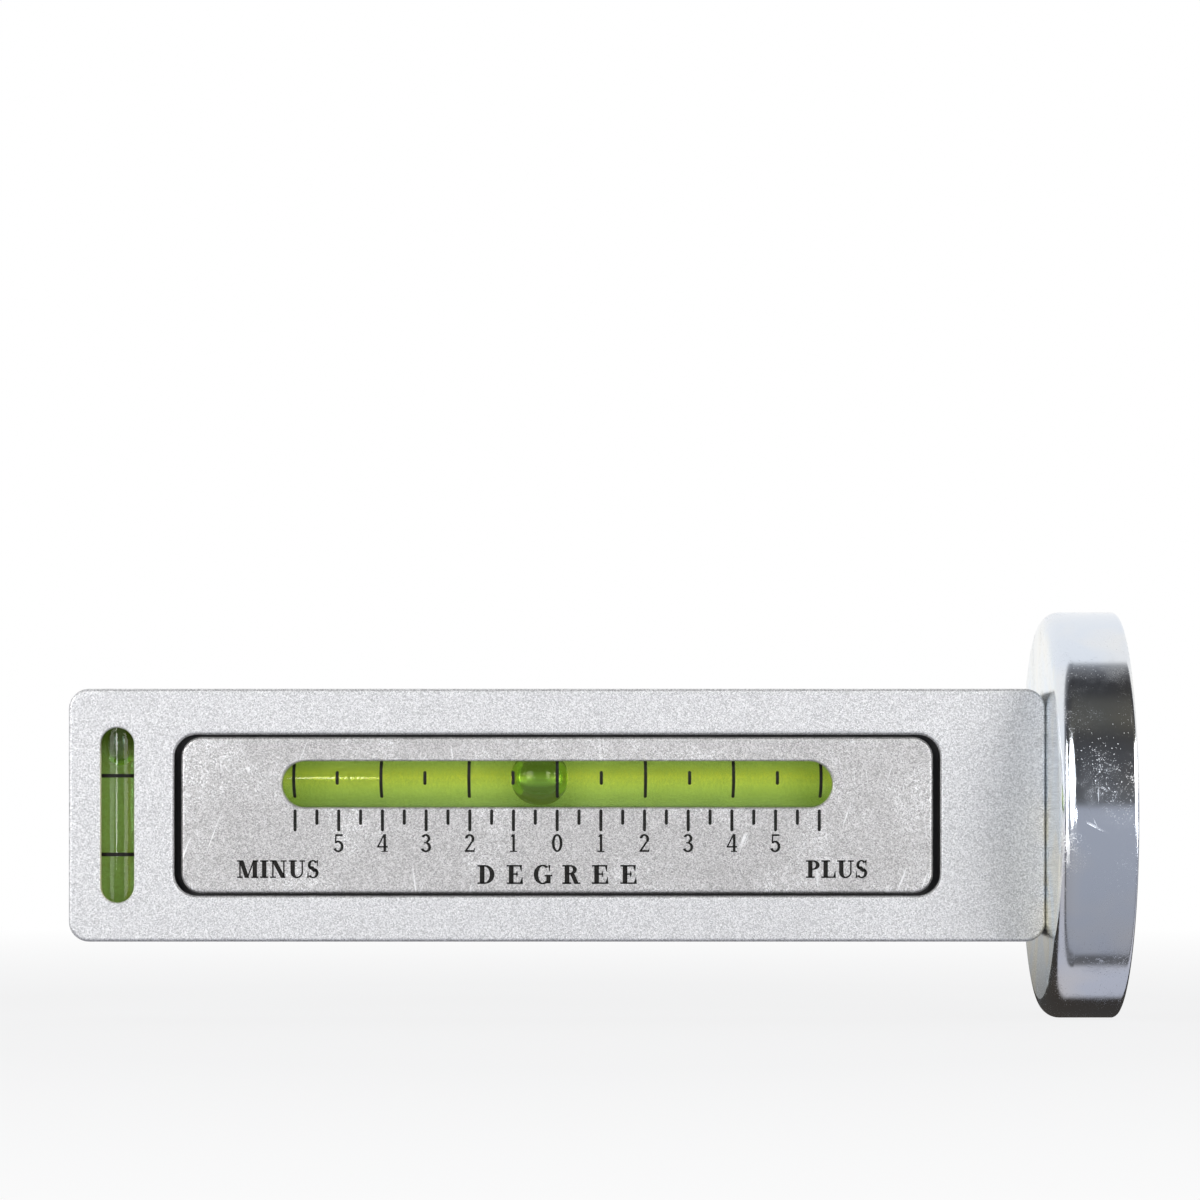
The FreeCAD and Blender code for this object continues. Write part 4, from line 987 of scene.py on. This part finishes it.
def plate_scale(name, body, turn, pitch, limit, degrees):
    """Ticks from -limit to limit. Every second one is long and, but for the last, numbered in degrees."""
    bm = bmesh.new()
    for count in range(-limit, limit + 1):
        length = SHORT_TICK if count % 2 else LONG_TICK
        u = count * pitch
        add_round_ended(bm, u, -SCALE_GAP - length, -SCALE_GAP, TICK_WIDTH, lay_on_plate)
        if count % 2 == 0 and abs(count) < limit:
            number = str(round(abs(count) * degrees))
            add_glyph(bm, number, u, -NUMBER_DROP - NUMBER_HEIGHT, NUMBER_HEIGHT, lay_on_plate)
    add_spaced_word(bm, "DEGREE", 0, -WORD_DROP - WORD_HEIGHT, WORD_HEIGHT, lay_on_plate)
    side_base = -SIDE_WORD_DROP - SIDE_WORD_HEIGHT
    add_word(bm, "MINUS", -SIDE_WORD_REACH, side_base, SIDE_WORD_HEIGHT, lay_on_plate)
    add_word(bm, "PLUS", SIDE_WORD_REACH, side_base, SIDE_WORD_HEIGHT, lay_on_plate)
    settle(finish_mesh(name, bm, [INK]), body, turn)


plate_scale("camber_scale_print", "housing", AS_DRAWN, TRAVEL_PER_DEGREE / 2, CAMBER_TICKS, 0.5)
plate_scale("caster_scale_print", "carrier", TURN_OVER, CASTER_DEGREE, CASTER_TICKS, 1)


# Camera
camera_data = bpy.data.cameras.new("camera")
camera_data.sensor_width = SENSOR_WIDTH
camera_data.lens = FOCAL_LENGTH * SENSOR_WIDTH / PHOTO_WIDTH
camera_data.shift_x = (PHOTO_WIDTH / 2 - PRINCIPAL_X) / PHOTO_WIDTH
camera_data.shift_y = (PRINCIPAL_Y - PHOTO_WIDTH / 2) / PHOTO_WIDTH
camera_data.clip_start = CLIP_START
camera = bpy.data.objects.new("camera", camera_data)
camera.location = CAMERA_PLACE
camera.rotation_euler = (math.pi / 2, 0, 0)
bpy.context.scene.collection.objects.link(camera)
bpy.context.scene.camera = camera


# Studio
FLOOR_SIZE = 6.0
FLOOR_TONE = (0.37, 0.375, 0.40, 1)
FLOOR_CLOUD = 0.02
SHADOW_SHARE = 0.16
SHADOW_REACH = (0.12, 0.45)

# What mirrors see: tones along -1 for straight ahead of the gauge to 1 for straight behind it
ROOM_ABOVE = (
    (-1.0, (0.13, 0.13, 0.135, 1)), (-0.9, (0.075, 0.075, 0.08, 1)), (-0.72, (0.06, 0.06, 0.062, 1)),
    (-0.56, (0.11, 0.108, 0.095, 1)), (-0.42, (0.10, 0.098, 0.09, 1)), (-0.28, (0.05, 0.05, 0.052, 1)),
    (-0.14, (0.05, 0.05, 0.055, 1)), (-0.02, (0.17, 0.175, 0.19, 1)), (0.05, (0.28, 0.29, 0.31, 1)),
    (0.12, (0.97, 0.98, 1.0, 1)), (1.0, (1.0, 1.0, 1.0, 1)),
)
ROOM_BELOW = (
    (-1.0, (0.42, 0.435, 0.49, 1)), (-0.12, (0.36, 0.37, 0.42, 1)), (-0.05, (0.12, 0.12, 0.13, 1)),
    (0.04, (0.14, 0.14, 0.15, 1)), (0.1, (0.56, 0.56, 0.62, 1)), (0.54, (0.53, 0.53, 0.59, 1)),
    (0.62, (0.045, 0.04, 0.037, 1)), (1.0, (0.05, 0.046, 0.043, 1)),
)
# The height at which one turns into the other is higher ahead than behind
ROOM_TILT = 0.06
ROOM_RISE = (-0.005, 0.065)

# Lamps: azimuth and elevation in degrees, then distance, width, height and power in watts
LAMPS = (
    ("left_softbox", -40, 17, 1.2, 0.75, 1.0, 7.7),
    ("right_softbox", 35, 14, 1.2, 0.65, 1.0, 8.4),
    ("left_edge_lamp", -76, 8, 1.2, 0.25, 0.9, 5),
    ("right_edge_lamp", 74, 8, 1.2, 0.25, 0.9, 5),
    ("front_lamp", -16.5, 0.3, 1.04, 0.12, 0.07, 0.45),
)


def studio_floor():
    """A floor under the magnet's rim. The camera sees it white, but for a soft shadow round the gauge."""
    paint = Paint("floor")
    cloud = paint.noise(3, 2)
    colour = paint.mix(cloud, FLOOR_TONE, [tone + FLOOR_CLOUD for tone in FLOOR_TONE])
    matt = paint.add("ShaderNodeBsdfDiffuse", {"Color": colour})
    white = paint.add("ShaderNodeEmission", {"Color": grey(1), "Strength": 1.0})
    away = paint.add("ShaderNodeVectorMath", {0: paint.place}, operation="LENGTH").outputs["Value"]
    share = paint.between(away, *SHADOW_REACH, 1 - SHADOW_SHARE, 1)
    rays = paint.add("ShaderNodeLightPath")
    share = paint.calc("MULTIPLY", share, rays.outputs["Is Camera Ray"])
    both = paint.add("ShaderNodeMixShader", {0: share, 1: matt.outputs[0], 2: white.outputs[0]})
    paint.tree.links.new(both.outputs[0], paint.output.inputs["Surface"])
    bm = bmesh.new()
    bmesh.ops.create_grid(bm, x_segments=2, y_segments=2, size=FLOOR_SIZE / 2)
    floor = finish_mesh("floor", bm, [paint.material])
    floor.location = ((cad_box[0][0] + cad_box[1][0]) / 2, 0, cad_box[0][2])
    floor.visible_glossy = False


def studio_world():
    """White for the camera. Other rays see a white backdrop, and a dim room on the camera's side."""
    world = bpy.data.worlds.new("studio")
    world.use_nodes = True
    tree = world.node_tree
    tree.nodes.clear()

    def node(kind, inputs, **settings):
        made = tree.nodes.new(kind)
        for key, value in settings.items():
            setattr(made, key, value)
        for key, value in inputs.items():
            if isinstance(value, bpy.types.NodeSocket):
                tree.links.new(value, made.inputs[key])
            else:
                made.inputs[key].default_value = value
        return made

    direction = node("ShaderNodeTexCoord", {}).outputs["Generated"]
    parts = node("ShaderNodeSeparateXYZ", {0: direction})
    place = node("ShaderNodeMapRange", {0: parts.outputs["Y"], 1: -1.0, 2: 1.0}).outputs[0]
    upper = node("ShaderNodeValToRGB", {0: place})
    lower = node("ShaderNodeValToRGB", {0: place})
    for ramp, stops in ((upper.color_ramp, ROOM_ABOVE), (lower.color_ramp, ROOM_BELOW)):
        for number, (along, tone) in enumerate(stops):
            stop = ramp.elements[number] if number < 2 else ramp.elements.new(along)
            stop.position = (along + 1) / 2
            stop.color = tone
    inputs = {0: parts.outputs["Y"], 1: ROOM_TILT, 2: parts.outputs["Z"]}
    height = node("ShaderNodeMath", inputs, operation="MULTIPLY_ADD").outputs[0]
    rise = node("ShaderNodeMapRange", {0: height, 1: ROOM_RISE[0], 2: ROOM_RISE[1]}, clamp=True)
    colours = {"Factor": rise.outputs[0], 6: lower.outputs[0], 7: upper.outputs[0]}
    level = node("ShaderNodeMix", colours, data_type="RGBA")
    studio = node("ShaderNodeBackground", {"Color": level.outputs[2], "Strength": 1.0})
    white = node("ShaderNodeBackground", {"Color": grey(1), "Strength": 1.0})
    rays = node("ShaderNodeLightPath", {})
    inputs = {0: rays.outputs["Is Camera Ray"], 1: studio.outputs[0], 2: white.outputs[0]}
    both = node("ShaderNodeMixShader", inputs)
    output = node("ShaderNodeOutputWorld", {})
    tree.links.new(both.outputs[0], output.inputs["Surface"])
    bpy.context.scene.world = world


def softbox(name, azimuth, elevation, distance, width, height, power):
    """A soft lamp aimed at the middle of the gauge. Azimuth 0 is in front and 90 at the right."""
    data = bpy.data.lights.new(name, "AREA")
    data.shape = "ELLIPSE"
    data.size = width
    data.size_y = height
    data.energy = power
    lamp = bpy.data.objects.new(name, data)
    lamp.visible_camera = False
    side, rise = math.radians(azimuth), math.radians(elevation)
    way = Vector((math.sin(side) * math.cos(rise), -math.cos(side) * math.cos(rise), math.sin(rise)))
    lamp.location = Vector(((cad_box[0][0] + cad_box[1][0]) / 2, 0, 0)) + way * distance
    lamp.rotation_euler = (-way).to_track_quat("-Z", "Y").to_euler()
    bpy.context.scene.collection.objects.link(lamp)


studio_floor()
studio_world()
for lamp_row in LAMPS:
    softbox(*lamp_row)

bpy.context.scene.view_settings.view_transform = "Standard"
bpy.context.scene.cycles.max_bounces = 32
bpy.context.scene.cycles.transmission_bounces = 32
bpy.context.scene.cycles.glossy_bounces = 8
